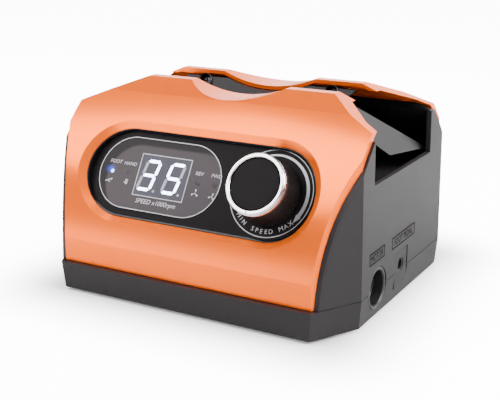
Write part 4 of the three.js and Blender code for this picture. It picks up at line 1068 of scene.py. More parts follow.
def build_window_liner(sizes):
    """The polished black wall that stands round the panel inside the window."""
    thickness = 0.85 * MM
    clearance = 0.12 * MM
    outer = stadium(sizes.window_length - 2 * clearance, sizes.window_breadth - 2 * clearance)
    shrink = 2 * (clearance + thickness)
    inner = stadium(sizes.window_length - shrink, sizes.window_breadth - shrink)
    over = surface_over_panel(sizes, outer)
    foot = PANEL_SURFACE + SKIN
    drop = sizes.chamfer_depth + 0.35 * MM
    edge = 0.25 * MM
    rings = [[], [], [], [], []]
    for (x0, y0), (x1, y1), height in zip(outer, inner, over):
        top = max(height - drop, foot + edge * 2)
        rings[0].append(PANEL_PLACE @ Vector((x0, y0, foot)))
        rings[1].append(PANEL_PLACE @ Vector((x0, y0, top)))
        middle = Vector(((2 * x0 + x1) / 3, (2 * y0 + y1) / 3, top))
        rings[2].append(PANEL_PLACE @ middle)
        rings[3].append(PANEL_PLACE @ Vector((x1, y1, top - edge)))
        rings[4].append(PANEL_PLACE @ Vector((x1, y1, foot)))
    made = smooth(loft("window_liner", rings, closed=True), 35)
    settle(made, "liner_gloss")


def build_housing(sizes):
    shell = soften(copy_of("body_shell", "shell_moulding"), sizes.shell_edge, 2)
    settle(shell, "shell_plastic", nodes=["body_shell"])
    tray = soften(copy_of("base_tray", "tray_moulding"), sizes.tray_edge, 3)
    settle(tray, "dark_plastic", nodes=["base_tray"])


def build_cradle(sizes):
    cradle = soften(copy_of("handpiece_cradle", "cradle_moulding"), sizes.cradle_edge, 2)
    settle(cradle, "dark_plastic", nodes=["handpiece_cradle"])


def axis_place(origin, direction):
    """A frame whose Z runs along a direction."""
    turn = Vector(direction).normalized().to_track_quat("Z", "Y").to_matrix().to_4x4()
    return Matrix.Translation(origin) @ turn


def build_knob(sizes):
    low = height_on_panel("knob_body")[0]
    ring_top = height_on_panel("knob_ring")[1]
    ring_foot = ring_top - sizes.ring_height
    groove = 0.35 * MM
    waist = ring_foot - groove
    bore = 4 * MM
    hollow = 7.8 * MM
    body = [
        (0, low + 5 * MM), (bore, low + 5 * MM), (hollow, low + 3.5 * MM), (hollow, low),
        (sizes.foot_radius, low), (sizes.waist_radius, waist), (sizes.ring_bore + 0.5 * MM, waist),
        (sizes.ring_bore + 0.5 * MM, ring_foot + 0.5 * MM), (0, ring_foot + 0.5 * MM),
    ]
    core = smooth(turned("knob_grip_core", rounded(body, 0.35 * MM), KNOB_PLACE, 144), 35)
    rib_foot = low + 0.7 * MM
    rib_top = waist - 0.5 * MM
    half = 0.17 * MM
    work = bmesh.new()
    slim = (sizes.foot_radius - sizes.waist_radius) / (waist - low)

    def radius_at(height):
        return sizes.foot_radius - slim * (height - low)

    corners = []
    for height in (rib_foot, rib_foot + 0.4 * MM, rib_top - 0.4 * MM, rib_top):
        base = radius_at(height) - 0.15 * MM
        crest = base if height in (rib_foot, rib_top) else base + 0.15 * MM + sizes.rib_depth
        spots = ((base, -half), (crest, -half * 0.3), (crest, half * 0.3), (base, half))
        corners.append([work.verts.new((radius, across, height)) for radius, across in spots])
    for lower, upper in zip(corners, corners[1:]):
        for i in range(4):
            j = (i + 1) % 4
            work.faces.new((lower[i], lower[j], upper[j], upper[i]))
    work.faces.new(list(reversed(corners[0])))
    work.faces.new(corners[-1])
    bmesh.ops.remove_doubles(work, verts=work.verts, dist=0.0005 * MM)
    rib = object_from("knob_grip_ribs", work)
    ribs = ring_of_copies(rib, sizes.rib_count, "grip_plastic")
    ribs.data.transform(KNOB_PLACE)
    grip = smooth(joined("knob_grip", [core, ribs]), 35)
    settle(grip, "grip_plastic", "speed_knob", ["knob_body"])

    ring = [
        (sizes.ring_bore, ring_foot + 1 * MM), (sizes.ring_bore, ring_top - 0.35 * MM),
        (sizes.ring_bore + 0.3 * MM, ring_top), (sizes.ring_radius - 0.55 * MM, ring_top),
        (sizes.ring_radius - 0.1 * MM, ring_top - 0.45 * MM),
        (sizes.ring_radius - 0.1 * MM, ring_top - 1.0 * MM),
        (sizes.ring_radius - 0.3 * MM, ring_top - 1.1 * MM),
        (sizes.ring_radius - 0.3 * MM, ring_top - 1.3 * MM), (sizes.ring_radius, ring_top - 1.4 * MM),
        (sizes.ring_radius, ring_foot + 0.25 * MM), (sizes.ring_radius - 0.35 * MM, ring_foot),
        (sizes.ring_bore + 0.6 * MM, ring_foot), (sizes.ring_bore, ring_foot + 1 * MM),
    ]
    ring_piece = turned("knob_bright_ring", rounded(ring, 0.1 * MM, 2)[:-1], KNOB_PLACE, 144, closed=True)
    settle(smooth(ring_piece, 40), "chrome_trim", "speed_knob", ["knob_ring"])

    cap_top = height_on_panel("knob_cap")[1]
    cap_radius = sizes.ring_bore - 0.12 * MM
    cap = [
        (0, cap_top - 1 * MM), (cap_radius, cap_top - 1 * MM), (cap_radius, cap_top - 0.25 * MM),
        (cap_radius - 0.5 * MM, cap_top), (0, cap_top - 0.1 * MM),
    ]
    cap_piece = smooth(turned("knob_top_cap", rounded(cap, 0.2 * MM), KNOB_PLACE, 144), 50)
    settle(cap_piece, "panel_plastic", "speed_knob", ["knob_cap"])

    mark_angle = math.radians(-92)
    mark_place = KNOB_PLACE @ Matrix.Rotation(mark_angle, 4, "Z")
    mark = slab(
        "knob_mark",
        (sizes.ring_bore + 0.35 * MM, -0.22 * MM, ring_top - 0.1 * MM),
        (sizes.ring_radius - 0.6 * MM, 0.22 * MM, ring_top + SKIN),
        mark_place,
    )
    settle(mark, "print_dark", "speed_knob")


def print_place(height=0.0):
    """Where prints on the panel start."""
    return PANEL_PLACE @ Matrix.Translation((0, 0, PANEL_SURFACE + SKIN + height))


def word(text, size, middle, place, lean=0.0, turn=0.0, widen=1.0):
    """A word as a thin closed mesh, centred on a point of the place's frame."""
    curve = bpy.data.curves.new("word", "FONT")
    curve.body = text
    curve.size = size
    curve.align_x = "CENTER"
    curve.align_y = "CENTER"
    curve.extrude = SKIN / 2
    curve.shear = lean
    curve.resolution_u = 3
    made = object_of("word", curve)
    bpy.context.view_layer.update()
    evaluated = made.evaluated_get(bpy.context.evaluated_depsgraph_get())
    mesh = bpy.data.meshes.new_from_object(evaluated)
    bpy.data.objects.remove(made)
    across = [vertex.co.x for vertex in mesh.vertices]
    upwards = [vertex.co.y for vertex in mesh.vertices]
    centre = Vector(((min(across) + max(across)) / 2, (min(upwards) + max(upwards)) / 2, 0))
    mesh.transform(
        place
        @ Matrix.Translation((middle[0], middle[1], 0))
        @ Matrix.Rotation(turn, 4, "Z")
        @ Matrix.Diagonal((widen, 1, 1, 1))
        @ Matrix.Translation(-centre)
    )
    return object_of("word", mesh)


def band(name, outer, inner, place, thickness=SKIN):
    """A flat band between two loops with the same number of points."""
    rings = []
    for loop, height in ((outer, 0), (outer, thickness), (inner, thickness), (inner, 0)):
        rings.append([place @ Vector((x, y, height)) for x, y in loop])
    return loft(name, rings, closed=True)


def arc_band(name, centre, radius, width_at, start, end, place, steps=72):
    """A band along an arc, whose width follows a function of how far along it is."""
    outline = []
    for side in (1, -1):
        order = range(steps + 1) if side > 0 else range(steps, -1, -1)
        for i in order:
            share = i / steps
            angle = start + (end - start) * share
            reach = radius + side * width_at(share) / 2
            outline.append((centre[0] + reach * math.cos(angle), centre[1] + reach * math.sin(angle)))
    return prism(name, outline, 0, SKIN, place)


def circle(centre, radius, count=96):
    angles = [2 * math.pi * i / count for i in range(count)]
    return [(centre[0] + radius * math.cos(angle), centre[1] + radius * math.sin(angle)) for angle in angles]


def fan_icon(middle, size, place, turn=0.0):
    """Three curved blades round a hub."""
    pieces = [prism("hub", circle(middle, size * 0.16, 16), 0, SKIN, place)]
    for i in range(3):
        base = turn + i * 2 * math.pi / 3
        outline = []
        for share, spread in ((0.15, 0.0), (0.6, -0.38), (1.0, -0.30), (1.0, 0.22), (0.6, 0.12)):
            angle = base + spread
            reach = size * share
            outline.append((middle[0] + reach * math.cos(angle), middle[1] + reach * math.sin(angle)))
        pieces.append(prism("blade", outline, 0, SKIN, place))
    return pieces


def hand_icon(middle, size, place):
    """A palm with four fingers and a thumb."""
    palm = circle((middle[0], middle[1] - size * 0.25), size * 0.5, 20)
    pieces = [prism("palm", palm, 0, SKIN, place)]
    for i in range(4):
        angle = math.radians(62 + 19 * i)
        reach = size * 1.05
        tip = (middle[0] + reach * math.cos(angle), middle[1] - size * 0.25 + reach * math.sin(angle))
        pieces.append(stroke((middle[0], middle[1] - size * 0.1), tip, size * 0.2, place))
    thumb = (middle[0] - size * 0.85, middle[1] - size * 0.1)
    pieces.append(stroke((middle[0], middle[1] - size * 0.4), thumb, size * 0.2, place))
    return pieces


def foot_icon(middle, size, place):
    """A pedal seen from the side, with a foot on it."""
    x, y = middle
    return [
        stroke((x - size, y - size * 0.55), (x + size, y + size * 0.35), size * 0.3, place),
        stroke((x - size * 0.2, y - size * 0.1), (x + size * 0.35, y - size * 0.75), size * 0.24, place),
        stroke((x + size * 0.2, y + size * 0.1), (x + size * 0.9, y - size * 0.1), size * 0.24, place),
    ]


def stroke(start, end, width, place):
    """A straight printed line with square ends."""
    along = (Vector(end) - Vector(start)).normalized() * (width / 2)
    across = Vector((-along.y, along.x))
    first = Vector(start) - along
    last = Vector(end) + along
    outline = [first - across, last - across, last + across, first + across]
    return prism("stroke", [tuple(spot) for spot in outline], 0, SKIN, place)


def frame_lines(low, high, width, place):
    """A rectangle drawn with thin lines."""
    outer = [(low[0], low[1]), (high[0], low[1]), (high[0], high[1]), (low[0], high[1])]
    inner = [
        (low[0] + width, low[1] + width), (high[0] - width, low[1] + width),
        (high[0] - width, high[1] - width), (low[0] + width, high[1] - width),
    ]
    return band("frame", outer, inner, place)


SEGMENTS = {
    "0": "abcdef", "1": "bc", "2": "abged", "3": "abgcd", "4": "fgbc",
    "5": "afgcd", "6": "afgedc", "7": "abc", "8": "abcdefg", "9": "abcdfg",
}


def segment_outline(letter, sizes):
    """One bar of a digit, upright, about the digit's middle."""
    half_width = (sizes.digit_width - sizes.segment_width) / 2
    half_height = (sizes.digit_height - sizes.segment_width) / 2
    spots = {
        "a": ((-half_width, half_height), (half_width, half_height)),
        "g": ((-half_width, 0), (half_width, 0)),
        "d": ((-half_width, -half_height), (half_width, -half_height)),
        "f": ((-half_width, 0), (-half_width, half_height)),
        "b": ((half_width, 0), (half_width, half_height)),
        "e": ((-half_width, -half_height), (-half_width, 0)),
        "c": ((half_width, -half_height), (half_width, 0)),
    }
    start, end = (Vector(spot) for spot in spots[letter])
    along = (end - start).normalized()
    across = Vector((-along.y, along.x))
    gap = 0.22 * MM
    half = sizes.segment_width / 2
    tip = half + gap
    start_tip = start + along * gap
    end_tip = end - along * gap
    return [
        start_tip, start + along * tip - across * half, end - along * tip - across * half,
        end_tip, end - along * tip + across * half, start + along * tip + across * half,
    ]


def build_display(sizes):
    """The two digits, their window and the indicator lights, seen in the smoked lens."""
    window_middle, window_size = extent_on_panel("digit_display")
    place = print_place()
    lit, resting = [], []
    for index, figure in enumerate(sizes.reading):
        middle_x = window_middle.x + sizes.digit_pitch * (index - 0.5)
        for letter in "abcdefg":
            outline = []
            for spot in segment_outline(letter, sizes):
                slanted = spot.x + spot.y * math.tan(sizes.digit_slant)
                outline.append((middle_x + slanted - 0.7 * MM, spot.y + 0.1 * MM))
            piece = prism("segment", outline, 0, SKIN * 2, place)
            (lit if letter in SEGMENTS[figure] else resting).append(piece)
        point = (middle_x + sizes.digit_width / 2 - 0.3 * MM, -sizes.digit_height / 2 + 0.5 * MM)
        resting.append(prism("point", circle(point, 0.6 * MM, 20), 0, SKIN, place))
    half = window_size / 2
    pane = slab(
        "display_pane",
        (window_middle.x - half.x, window_middle.y - half.y, -SKIN / 2),
        (window_middle.x + half.x, window_middle.y + half.y, -SKIN / 4),
        place,
    )
    settle(pane, "display_pane")
    settle(joined("display_digits", lit), "display_light")
    settle(joined("display_resting", resting), "resting_segment")
    names = ("foot", "hand", "reverse", "forward")
    lights = {name: extent_on_panel("indicator_led_" + name)[0] for name in names}
    lamp = lights["foot"]
    lit_lamp = turned(
        "indicator_lit", [(0, -SKIN / 2), (0.85 * MM, -SKIN / 2), (0.75 * MM, 0.10 * MM), (0, 0.16 * MM)],
        place @ Matrix.Translation((lamp.x, lamp.y - 0.3 * MM, 0)), 32,
    )
    settle(smooth(lit_lamp, 60), "blue_light")
    off = []
    for name in names[1:]:
        spot = lights[name]
        off.append(turned(
            "lamp", [(0, -SKIN / 2), (1.15 * MM, -SKIN / 2), (1.05 * MM, 0.08 * MM), (0, 0.12 * MM)],
            place @ Matrix.Translation((spot.x, spot.y + 0.1 * MM, 0)), 32,
        ))
    settle(smooth(joined("indicators_off", off), 60), "smoked_lens")


def build_prints(sizes):
    """Lines, words and icons printed on the panel."""
    place = print_place()
    line = sizes.line_width
    pieces = []
    edge = stadium(LENS_SIZE.x + line, LENS_SIZE.y + line)
    inside = stadium(LENS_SIZE.x - line, LENS_SIZE.y - line)
    lift = 0.3 * MM
    shifted = [
        [(x + LENS_MIDDLE.x, y + LENS_MIDDLE.y + lift) for x, y in loop] for loop in (edge, inside)
    ]
    pieces.append(band("lens_line", *shifted, place))
    pieces.append(frame_lines((-31.3 * MM, -9.5 * MM), (-5.4 * MM, 9.6 * MM), line, place))
    small = 2.3 * MM
    for text, x, y in (("FOOT", -43.9, 4.3), ("HAND", -36.2, 4.1), ("REV", -0.35, 4.2), ("FWD", 8.0, 4.2)):
        pieces.append(word(text, small, (x * MM, y * MM), place, lean=0.12))
    pieces.append(word("SPEED x1000rpm", 2.9 * MM, (-18.3 * MM, -11.9 * MM), place, lean=0.25))
    pieces += foot_icon((-45.3 * MM, -4.3 * MM), 1.5 * MM, place)
    pieces += hand_icon((-36.0 * MM, -4.3 * MM), 1.4 * MM, place)
    pieces += fan_icon((-0.3 * MM, -4.5 * MM), 1.8 * MM, place, math.radians(90))
    pieces += fan_icon((8.1 * MM, -4.9 * MM), 1.6 * MM, place, math.radians(80))
    centre = (KNOB_PIVOT.x, 0.6 * MM)
    outer = circle(centre, sizes.dial_radius + line / 2, 160)
    inner = circle(centre, sizes.dial_radius - line / 2, 160)
    pieces.append(band("dial_line", outer, inner, place))
    text_radius = 16.1 * MM
    for text, degrees, size in (("MIN", -130, 2.7), ("SPEED", -90, 2.7), ("MAX", -51, 2.9)):
        pieces += arc_word(text, size * MM, math.radians(degrees), centre, text_radius, place)
    tip = math.radians(-150)
    pieces.append(arrow_head(centre, text_radius, tip, -1, 1.3 * MM, place))
    settle(joined("panel_prints", pieces), "print_grey")

    start, end = math.radians(150), math.radians(-28)
    arc = arc_band(
        "arc", centre, sizes.arc_radius, lambda share: (0.35 + 1.35 * share) * MM, start, end, place
    )
    head = arrow_head(centre, sizes.arc_radius, end, -1, 2.4 * MM, place)
    settle(joined("dial_arc", [arc, head]), "print_silver")


def arc_word(text, size, middle_angle, centre, radius, place):
    """Letters set along an arc, reading anticlockwise with their feet outwards."""
    pitch = size * 0.78
    pieces = []
    for i, letter in enumerate(text):
        angle = middle_angle + (i - (len(text) - 1) / 2) * pitch / radius
        spot = (centre[0] + radius * math.cos(angle), centre[1] + radius * math.sin(angle))
        pieces.append(word(letter, size, spot, place, turn=angle + math.pi / 2))
    return pieces


def arrow_head(centre, radius, angle, direction, size, place):
    """A triangle on an arc, pointing along it: direction -1 is clockwise."""
    along = Vector((-math.sin(angle), math.cos(angle))) * direction
    out = Vector((math.cos(angle), math.sin(angle)))
    spot = Vector(centre) + out * radius
    outline = [spot - out * size * 0.5, spot + along * size * 1.5, spot + out * size * 0.5]
    if (outline[1] - outline[0]).cross(outline[2] - outline[0]) < 0:
        outline.reverse()
    return prism("arrow", [tuple(point) for point in outline], 0, SKIN, place)


SIDE_PLACE = Matrix(((0, 0, 1, 0), (1, 0, 0, 0), (0, 1, 0, 0), (0, 0, 0, 1)))


def build_labels():
    """Boxed words over the two sockets."""
    pieces = []
    motor_low, motor_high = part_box("motor_socket")
    plate_low, plate_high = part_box("pedal_jack_plate")
    motor_y = (motor_low.y + motor_high.y) / 2
    plate_y = (plate_low.y + plate_high.y) / 2
    for text, middle, half_length, bottom, top in (
        ("MOTOR", motor_y - 1.45 * MM, 7.95 * MM, 26.2 * MM, 31.4 * MM),
        ("FOOT PEDAL", plate_y + 1.8 * MM, 13.4 * MM, 26.0 * MM, 31.4 * MM),
    ):
        out = HALF_WIDTH * (1 - SIDE_DRAFT * (bottom - PARTING_Z)) + SKIN
        place = Matrix.Translation((out, 0, 0)) @ SIDE_PLACE
        left, right = middle - half_length, middle + half_length
        pieces.append(frame_lines((left, bottom), (right, top), 0.5 * MM, place))
        pieces.append(word(text, 4.4 * MM, (middle, (bottom + top) / 2), place, widen=0.82))
    settle(joined("socket_labels", pieces), "print_dark")


def build_sockets(sizes):
    """The motor socket, its insert and pins, and the pedal jack's plate."""
    low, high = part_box("motor_socket")
    centre = (low + high) / 2
    radius = (high.y - low.y) / 2
    place = axis_place((0, centre.y, centre.z), (1, 0, 0))
    bore = radius - 1.4 * MM
    tube = [
        (0, low.x), (radius, low.x), (radius, high.x), (bore + 0.5 * MM, high.x), (bore, high.x - 0.5 * MM),
        (bore, high.x - 5 * MM), (bore - 0.5 * MM, high.x - 5.3 * MM), (bore - 0.5 * MM, low.x + 2 * MM),
        (0, low.x + 2 * MM),
    ]
    made = smooth(turned("motor_socket_tube", rounded(tube, 0.2 * MM), place), 35)
    settle(made, "black_plastic", nodes=["motor_socket"])
    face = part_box("motor_socket_insert")[1].x
    insert_radius = bore - 0.8 * MM
    insert = [
        (0, low.x + 2.4 * MM), (insert_radius, low.x + 2.4 * MM), (insert_radius, face),
        (insert_radius - 1 * MM, face), (insert_radius - 1 * MM, face - 0.6 * MM), (0, face - 0.6 * MM),
    ]
    made = smooth(turned("motor_socket_face", rounded(insert, 0.15 * MM), place), 35)
    settle(made, "panel_plastic", nodes=["motor_socket_insert"])
    for index in range(1, 5):
        node = f"motor_pin_{index}"
        pin_low, pin_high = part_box(node)
        spot = (pin_low + pin_high) / 2
        pin_radius = (pin_high.y - pin_low.y) / 2
        pin = [(0, pin_low.x), (pin_radius, pin_low.x), (pin_radius, pin_high.x), (0, pin_high.x)]
        pin_place = axis_place((0, spot.y, spot.z), (1, 0, 0))
        made = smooth(turned(f"motor_contact_{index}", rounded(pin, 0.5 * MM), pin_place, 32), 45)
        settle(made, "brass_part", nodes=[node])

    plate_low, plate_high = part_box("pedal_jack_plate")
    jack_low, jack_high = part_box("pedal_jack")
    hole_z = (jack_low.z + jack_high.z) / 2
    hole_y = (plate_low.y + plate_high.y) / 2
    plate = slab("pedal_plate", plate_low, plate_high)
    hole = prism("hole", circle((hole_y, hole_z), JACK_BORE_RADIUS, 64), -0.2, 0.2, SIDE_PLACE)
    combine(plate, "DIFFERENCE", hole)
    soften(plate, sizes.small_edge, 3)
    settle(plate, "dark_plastic", nodes=["pedal_jack_plate"])
    bush_place = axis_place((0, hole_y, hole_z), (1, 0, 0))
    bush_outside = JACK_BORE_RADIUS - 0.03 * MM
    bush_inside = JACK_BORE_RADIUS - 0.6 * MM
    bush_foot = plate_high.x - 1.9 * MM
    bush = [
        (bush_outside, bush_foot), (bush_outside, plate_high.x - 0.35 * MM),
        (bush_inside, plate_high.x - 0.55 * MM), (bush_inside, bush_foot),
    ]
    made = smooth(turned("pedal_jack_bush", bush, bush_place, 64, closed=True), 35)
    settle(made, "black_plastic")


def build_screws():
    """Screws with cross recesses, and the sleeves round the cradle's screw wells."""
    for side in ("front", "rear"):
        for hand in ("left", "right"):
            node = f"cradle_screw_{side}_{hand}"
            low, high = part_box(node)
            middle = (low + high) / 2
            facing = 1 if side == "front" else -1
            slope = math.atan(0.425)
            axis = Vector((0, facing * math.cos(slope), math.sin(slope)))
            reach = [(vertex.co - middle).dot(axis) for vertex in FRAME["nodes"][node].data.vertices]
            screw_from_cad(node, axis, max(reach), middle, "black_plastic")
            mouth = axis_place(middle + axis * max(reach), axis)
            well = [
                (3.55 * MM, -0.1 * MM), (3.55 * MM, 1.85 * MM), (3.3 * MM, 2.15 * MM), (3.0 * MM, 1.85 * MM),
                (3.0 * MM, -0.1 * MM),
            ]
            sleeve = smooth(turned(f"cradle_well_{side}_{hand}", well, mouth, 64, closed=True), 50)
            settle(sleeve, "black_plastic")
    for corner in ("front_left", "front_right", "rear_right", "rear_left"):
        node = f"base_screw_{corner}"
        low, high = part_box(node)
        middle = (low + high) / 2
        axis = Vector((0, 0, -1))
        screw_from_cad(node, axis, (high.z - low.z) / 2, middle, "steel_part")


def screw_from_cad(node, axis, head_out, middle, material):
    """A pan-head screw where a CAD screw is, its head at head_out along the axis."""
    place = axis_place(middle + axis * head_out, axis)
    head = 2.9 * MM
    shank = 1.45 * MM
    screw_length = 5 * MM
    profile = [
        (0, -screw_length), (shank, -screw_length), (shank, -1.5 * MM), (head, -1.5 * MM), (head, -0.6 * MM),
        (head * 0.6, -0.08 * MM), (0, 0),
    ]
    made = turned(node + "_turned", rounded(profile, 0.25 * MM), place, 48)
    half_slot = 0.35 * MM
    arm = 1.7 * MM
    bars = [
        slab("bar", (-arm, -half_slot, -1 * MM), (arm, half_slot, 1 * MM), place),
        slab("bar", (-half_slot, -arm, -1 * MM), (half_slot, arm, 1 * MM), place),
    ]
    combine(made, "DIFFERENCE", *bars)
    smooth(made, 35)
    settle(made, material, nodes=[node])


def build_feet():
    for corner in ("front_left", "front_right", "rear_right", "rear_left"):
        node = f"foot_{corner}"
        low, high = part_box(node)
        middle = (low + high) / 2
        radius = (high.x - low.x) / 2
        profile = [(0, low.z), (radius, low.z), (radius, high.z), (0, high.z)]
        place = Matrix.Translation((middle.x, middle.y, 0))
        made = smooth(turned(f"rubber_{node}", rounded(profile, 0.35 * MM), place, 64), 35)
        settle(made, "rubber_foot", nodes=[node])


def build_service_pan(sizes):
    """The recessed pan in the back with its inlet, fuse and rocker switch."""
    for node, name, material, slot in (
        ("service_pan", "service_pan_moulding", "dark_plastic", "dark_plastic"),
        ("power_inlet", "power_inlet_moulding", "black_plastic", "black_plastic"),
        ("switch_housing", "switch_bezel", "black_plastic", "black_plastic"),
    ):
        made = soften(copy_of(node, name), sizes.small_edge, 2)
        settle(made, material, nodes=[node])
    rocker = soften(copy_of("power_rocker", "rocker_key"), sizes.small_edge * 2, 3)
    settle(rocker, "grip_plastic", "power_rocker", ["power_rocker"])
    for index in range(1, 4):
        node = f"inlet_pin_{index}"
        blade = soften(copy_of(node, f"inlet_blade_{index}"), sizes.small_edge * 2, 3)
        settle(blade, "steel_part", nodes=[node])
    low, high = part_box("fuse_holder")
    middle = (low + high) / 2
    radius = (high.x - low.x) / 2
    place = axis_place((middle.x, 0, middle.z), (0, 1, 0))
    cap_foot = high.y - 5 * MM
    profile = [
        (0, low.y), (radius - 1 * MM, low.y), (radius - 1 * MM, cap_foot),
        (radius, cap_foot), (radius, high.y), (0, high.y),
    ]
    cap = turned("fuse_cap", rounded(profile, 0.5 * MM), place, 72)
    slot_half = 0.6 * MM
    slot_reach = radius * 0.6
    slot_low = (-slot_reach, -slot_half, high.y - 1 * MM)
    slot_high = (slot_reach, slot_half, high.y + 1 * MM)
    cut = slab("cut", slot_low, slot_high, place)
    combine(cap, "DIFFERENCE", cut)
    settle(smooth(cap, 35), "black_plastic", nodes=["fuse_holder"])
    pivot = Vector(JOINTS["power_rocker_tilt"]["pos_m"])
    rest_tilt = math.radians(-10)
    out = Matrix(((-1, 0, 0, 0), (0, 0, 1, 0), (0, 1, 0, 0), (0, 0, 0, 1)))
    face_out = 2.72 * MM
    key = Matrix.Translation(pivot) @ Matrix.Rotation(rest_tilt, 4, "X")
    marks = []
    dish = math.atan(1.2 / 7.5)
    for sign in (1, -1):
        face = key @ Matrix.Translation((0, face_out, sign * 4.2 * MM))
        face = face @ Matrix.Rotation(-sign * dish, 4, "X") @ out
        if sign > 0:
            marks.append(stroke((0, -1.3 * MM), (0, 1.3 * MM), 0.45 * MM, face))
        else:
            marks.append(band("ring", circle((0, 0), 1.55 * MM, 40), circle((0, 0), 1.1 * MM, 40), face))
    settle(joined("rocker_marks", marks), "print_grey", "power_rocker")


def dress_cad_nodes():
    """Gives every CAD node the finish of its material slot."""
    for entry in FRAME["record"]["subparts"]:
        node = FRAME["nodes"][entry["node"]]
        made = finish_named(entry["material_slot"])
        node.data.materials.clear()
        node.data.materials.append(made)


# ---- Stage -----------------------------------------------------------------------------------------------


def emitting(name, tone, strength):
    """A plain glowing surface for a backdrop."""
    finish = Finish(name)
    finish.give(
        Base_Color=tone, Roughness=1.0, Specular_IOR_Level=0.0,
        Emission_Color=tone, Emission_Strength=strength,
    )
    return finish.material


def floor_finish(glow):
    """White acrylic with painted light: it glows a little away from the unit so that it stays pale there, and the
    glow fades out near the unit, leaving painted shade round it.
    """
    finish = Finish("floor_white")
    across, along, _ = finish.axes()
    shaded_x = 0.062
    shaded_y = 0.058
    fade = 0.055
    out_x = (abs(across) - shaded_x).at_least(0.0)
    out_y = (abs(along) - shaded_y).at_least(0.0)
    distance = (out_x ** 2.0 + out_y ** 2.0) ** 0.5
    # Painted light on the floor: no glow close to the unit's footprint, full glow from 55 mm out.
    painted_floor_light = distance.ramp(0.0, fade)
    light = finish.mix((0.0, 0.0, 0.0), (1.0, 0.995, 1.0), painted_floor_light)
    finish.give(
        Base_Color=(0.86, 0.855, 0.865), Roughness=0.16, Specular_IOR_Level=0.3,
        Emission_Color=light, Emission_Strength=glow,
    )
    return finish.material


def flat_sheet(name, place, width, depth):
    work = bmesh.new()
    half_x = width / 2
    half_y = depth / 2
    corners = [(-half_x, -half_y), (half_x, -half_y), (half_x, half_y), (-half_x, half_y)]
    work.faces.new([work.verts.new(place @ Vector((x, y, 0))) for x, y in corners])
    return object_from(name, work, recalculate=False)


LIT_POINT = Vector((0, 0, 0.045))  # the lights face this point


def soft_box(name, direction, distance, width, height, watts):
    light = bpy.data.lights.new(name, "AREA")
    light.shape = "RECTANGLE"
    light.size = width
    light.size_y = height
    light.energy = watts
    made = bpy.data.objects.new(name, light)
    bpy.context.scene.collection.objects.link(made)
    out = Vector(direction).normalized()
    made.location = LIT_POINT + out * distance
    made.rotation_mode = "QUATERNION"
    made.rotation_quaternion = out.to_track_quat("Z", "Y")
    return made


def build_stage(settings):
    floor = flat_sheet("floor", Matrix.Identity(4), 6, 6)
    floor.data.materials.append(floor_finish(settings.floor_glow))
    floor.visible_diffuse = False
    floor.visible_glossy = False
    floor.visible_shadow = False
    bounce = flat_sheet("floor_bounce", Matrix.Translation((0, 0, -0.0004)), 6, 6)
    finish = Finish("floor_bounce")
    patch = finish.noise(0.4, 1)
    tone = finish.mix((0.72, 0.715, 0.72), (0.78, 0.775, 0.78), patch)
    across, along, _ = finish.axes()
    out_x = (abs(across) - HALF_WIDTH).at_least(0.0)
    out_y = (abs(along) - HALF_DEPTH).at_least(0.0)
    clear = ((out_x ** 2.0 + out_y ** 2.0) ** 0.5).ramp(0.0, 0.16)
    behind = along.ramp(0.02, 0.16) * 0.30
    front_left = (0 - along).ramp(0.0, 0.1) * (0 - across).ramp(-0.06, 0.10)
    glow = finish.mix((0.01, 0.01, 0.01), (1.0, 0.99, 1.0), behind.at_least(front_left) * clear)
    finish.give(Base_Color=tone, Roughness=0.8, Emission_Color=glow, Emission_Strength=settings.bounce_glow)
    bounce.data.materials.append(finish.material)
    bounce.visible_camera = False
    back_place = Matrix.Translation((0, 1.6, 0.9)) @ Matrix.Rotation(math.radians(90), 4, "X")
    backdrop = flat_sheet("backdrop", back_place, 6, 3)
    backdrop.data.materials.append(emitting("backdrop_white", (1.0, 1.0, 1.0), settings.backdrop_glow))
    backdrop.visible_shadow = False
    backdrop.visible_diffuse = False
    backdrop.visible_glossy = False
    sheen_place = Matrix.Translation((-0.1, 1.1, 0.52)) @ Matrix.Rotation(math.radians(90), 4, "X")
    sheen = flat_sheet("sheen", sheen_place, 2.6, 0.85)
    sheen.data.materials.append(emitting("sheen_white", (1.0, 0.99, 1.0), settings.sheen_glow))
    sheen.visible_camera = False
    sheen.visible_shadow = False
    sheen.visible_diffuse = False

    for name, direction, distance, width, height, watts in (
        ("key_left", (-0.45, -0.50, 0.74), 0.95, 0.62, 0.78, settings.key_watts),
        ("right_side", (0.82, 0.08, 0.57), 1.1, 0.6, 0.6, settings.right_watts),
        ("top_fill", (0.35, -0.05, 1.0), 1.2, 0.6, 0.6, settings.top_watts),
    ):
        soft_box(name, direction, distance, width, height, watts)

    world = bpy.data.worlds.new("studio")
    bpy.context.scene.world = world
    world.use_nodes = True
    background = world.node_tree.nodes["Background"]
    background.inputs["Color"].default_value = (1.0, 0.99, 0.995, 1)
    background.inputs["Strength"].default_value = settings.ambient

    camera = bpy.data.cameras.new("camera")
    camera.lens = settings.lens
    camera.sensor_width = 36
    camera.clip_start = 0.01
    camera.clip_end = 50
    shot = bpy.data.objects.new("camera", camera)
    bpy.context.scene.collection.objects.link(shot)
    azimuth, elevation = settings.azimuth, settings.elevation
    back = Vector((
        math.sin(azimuth) * math.cos(elevation), -math.cos(azimuth) * math.cos(elevation), math.sin(elevation)
    ))
    shot.location = Vector(settings.aim) + back * settings.distance
    shot.rotation_mode = "QUATERNION"
    shot.rotation_quaternion = back.to_track_quat("Z", "Y")
    bpy.context.scene.camera = shot


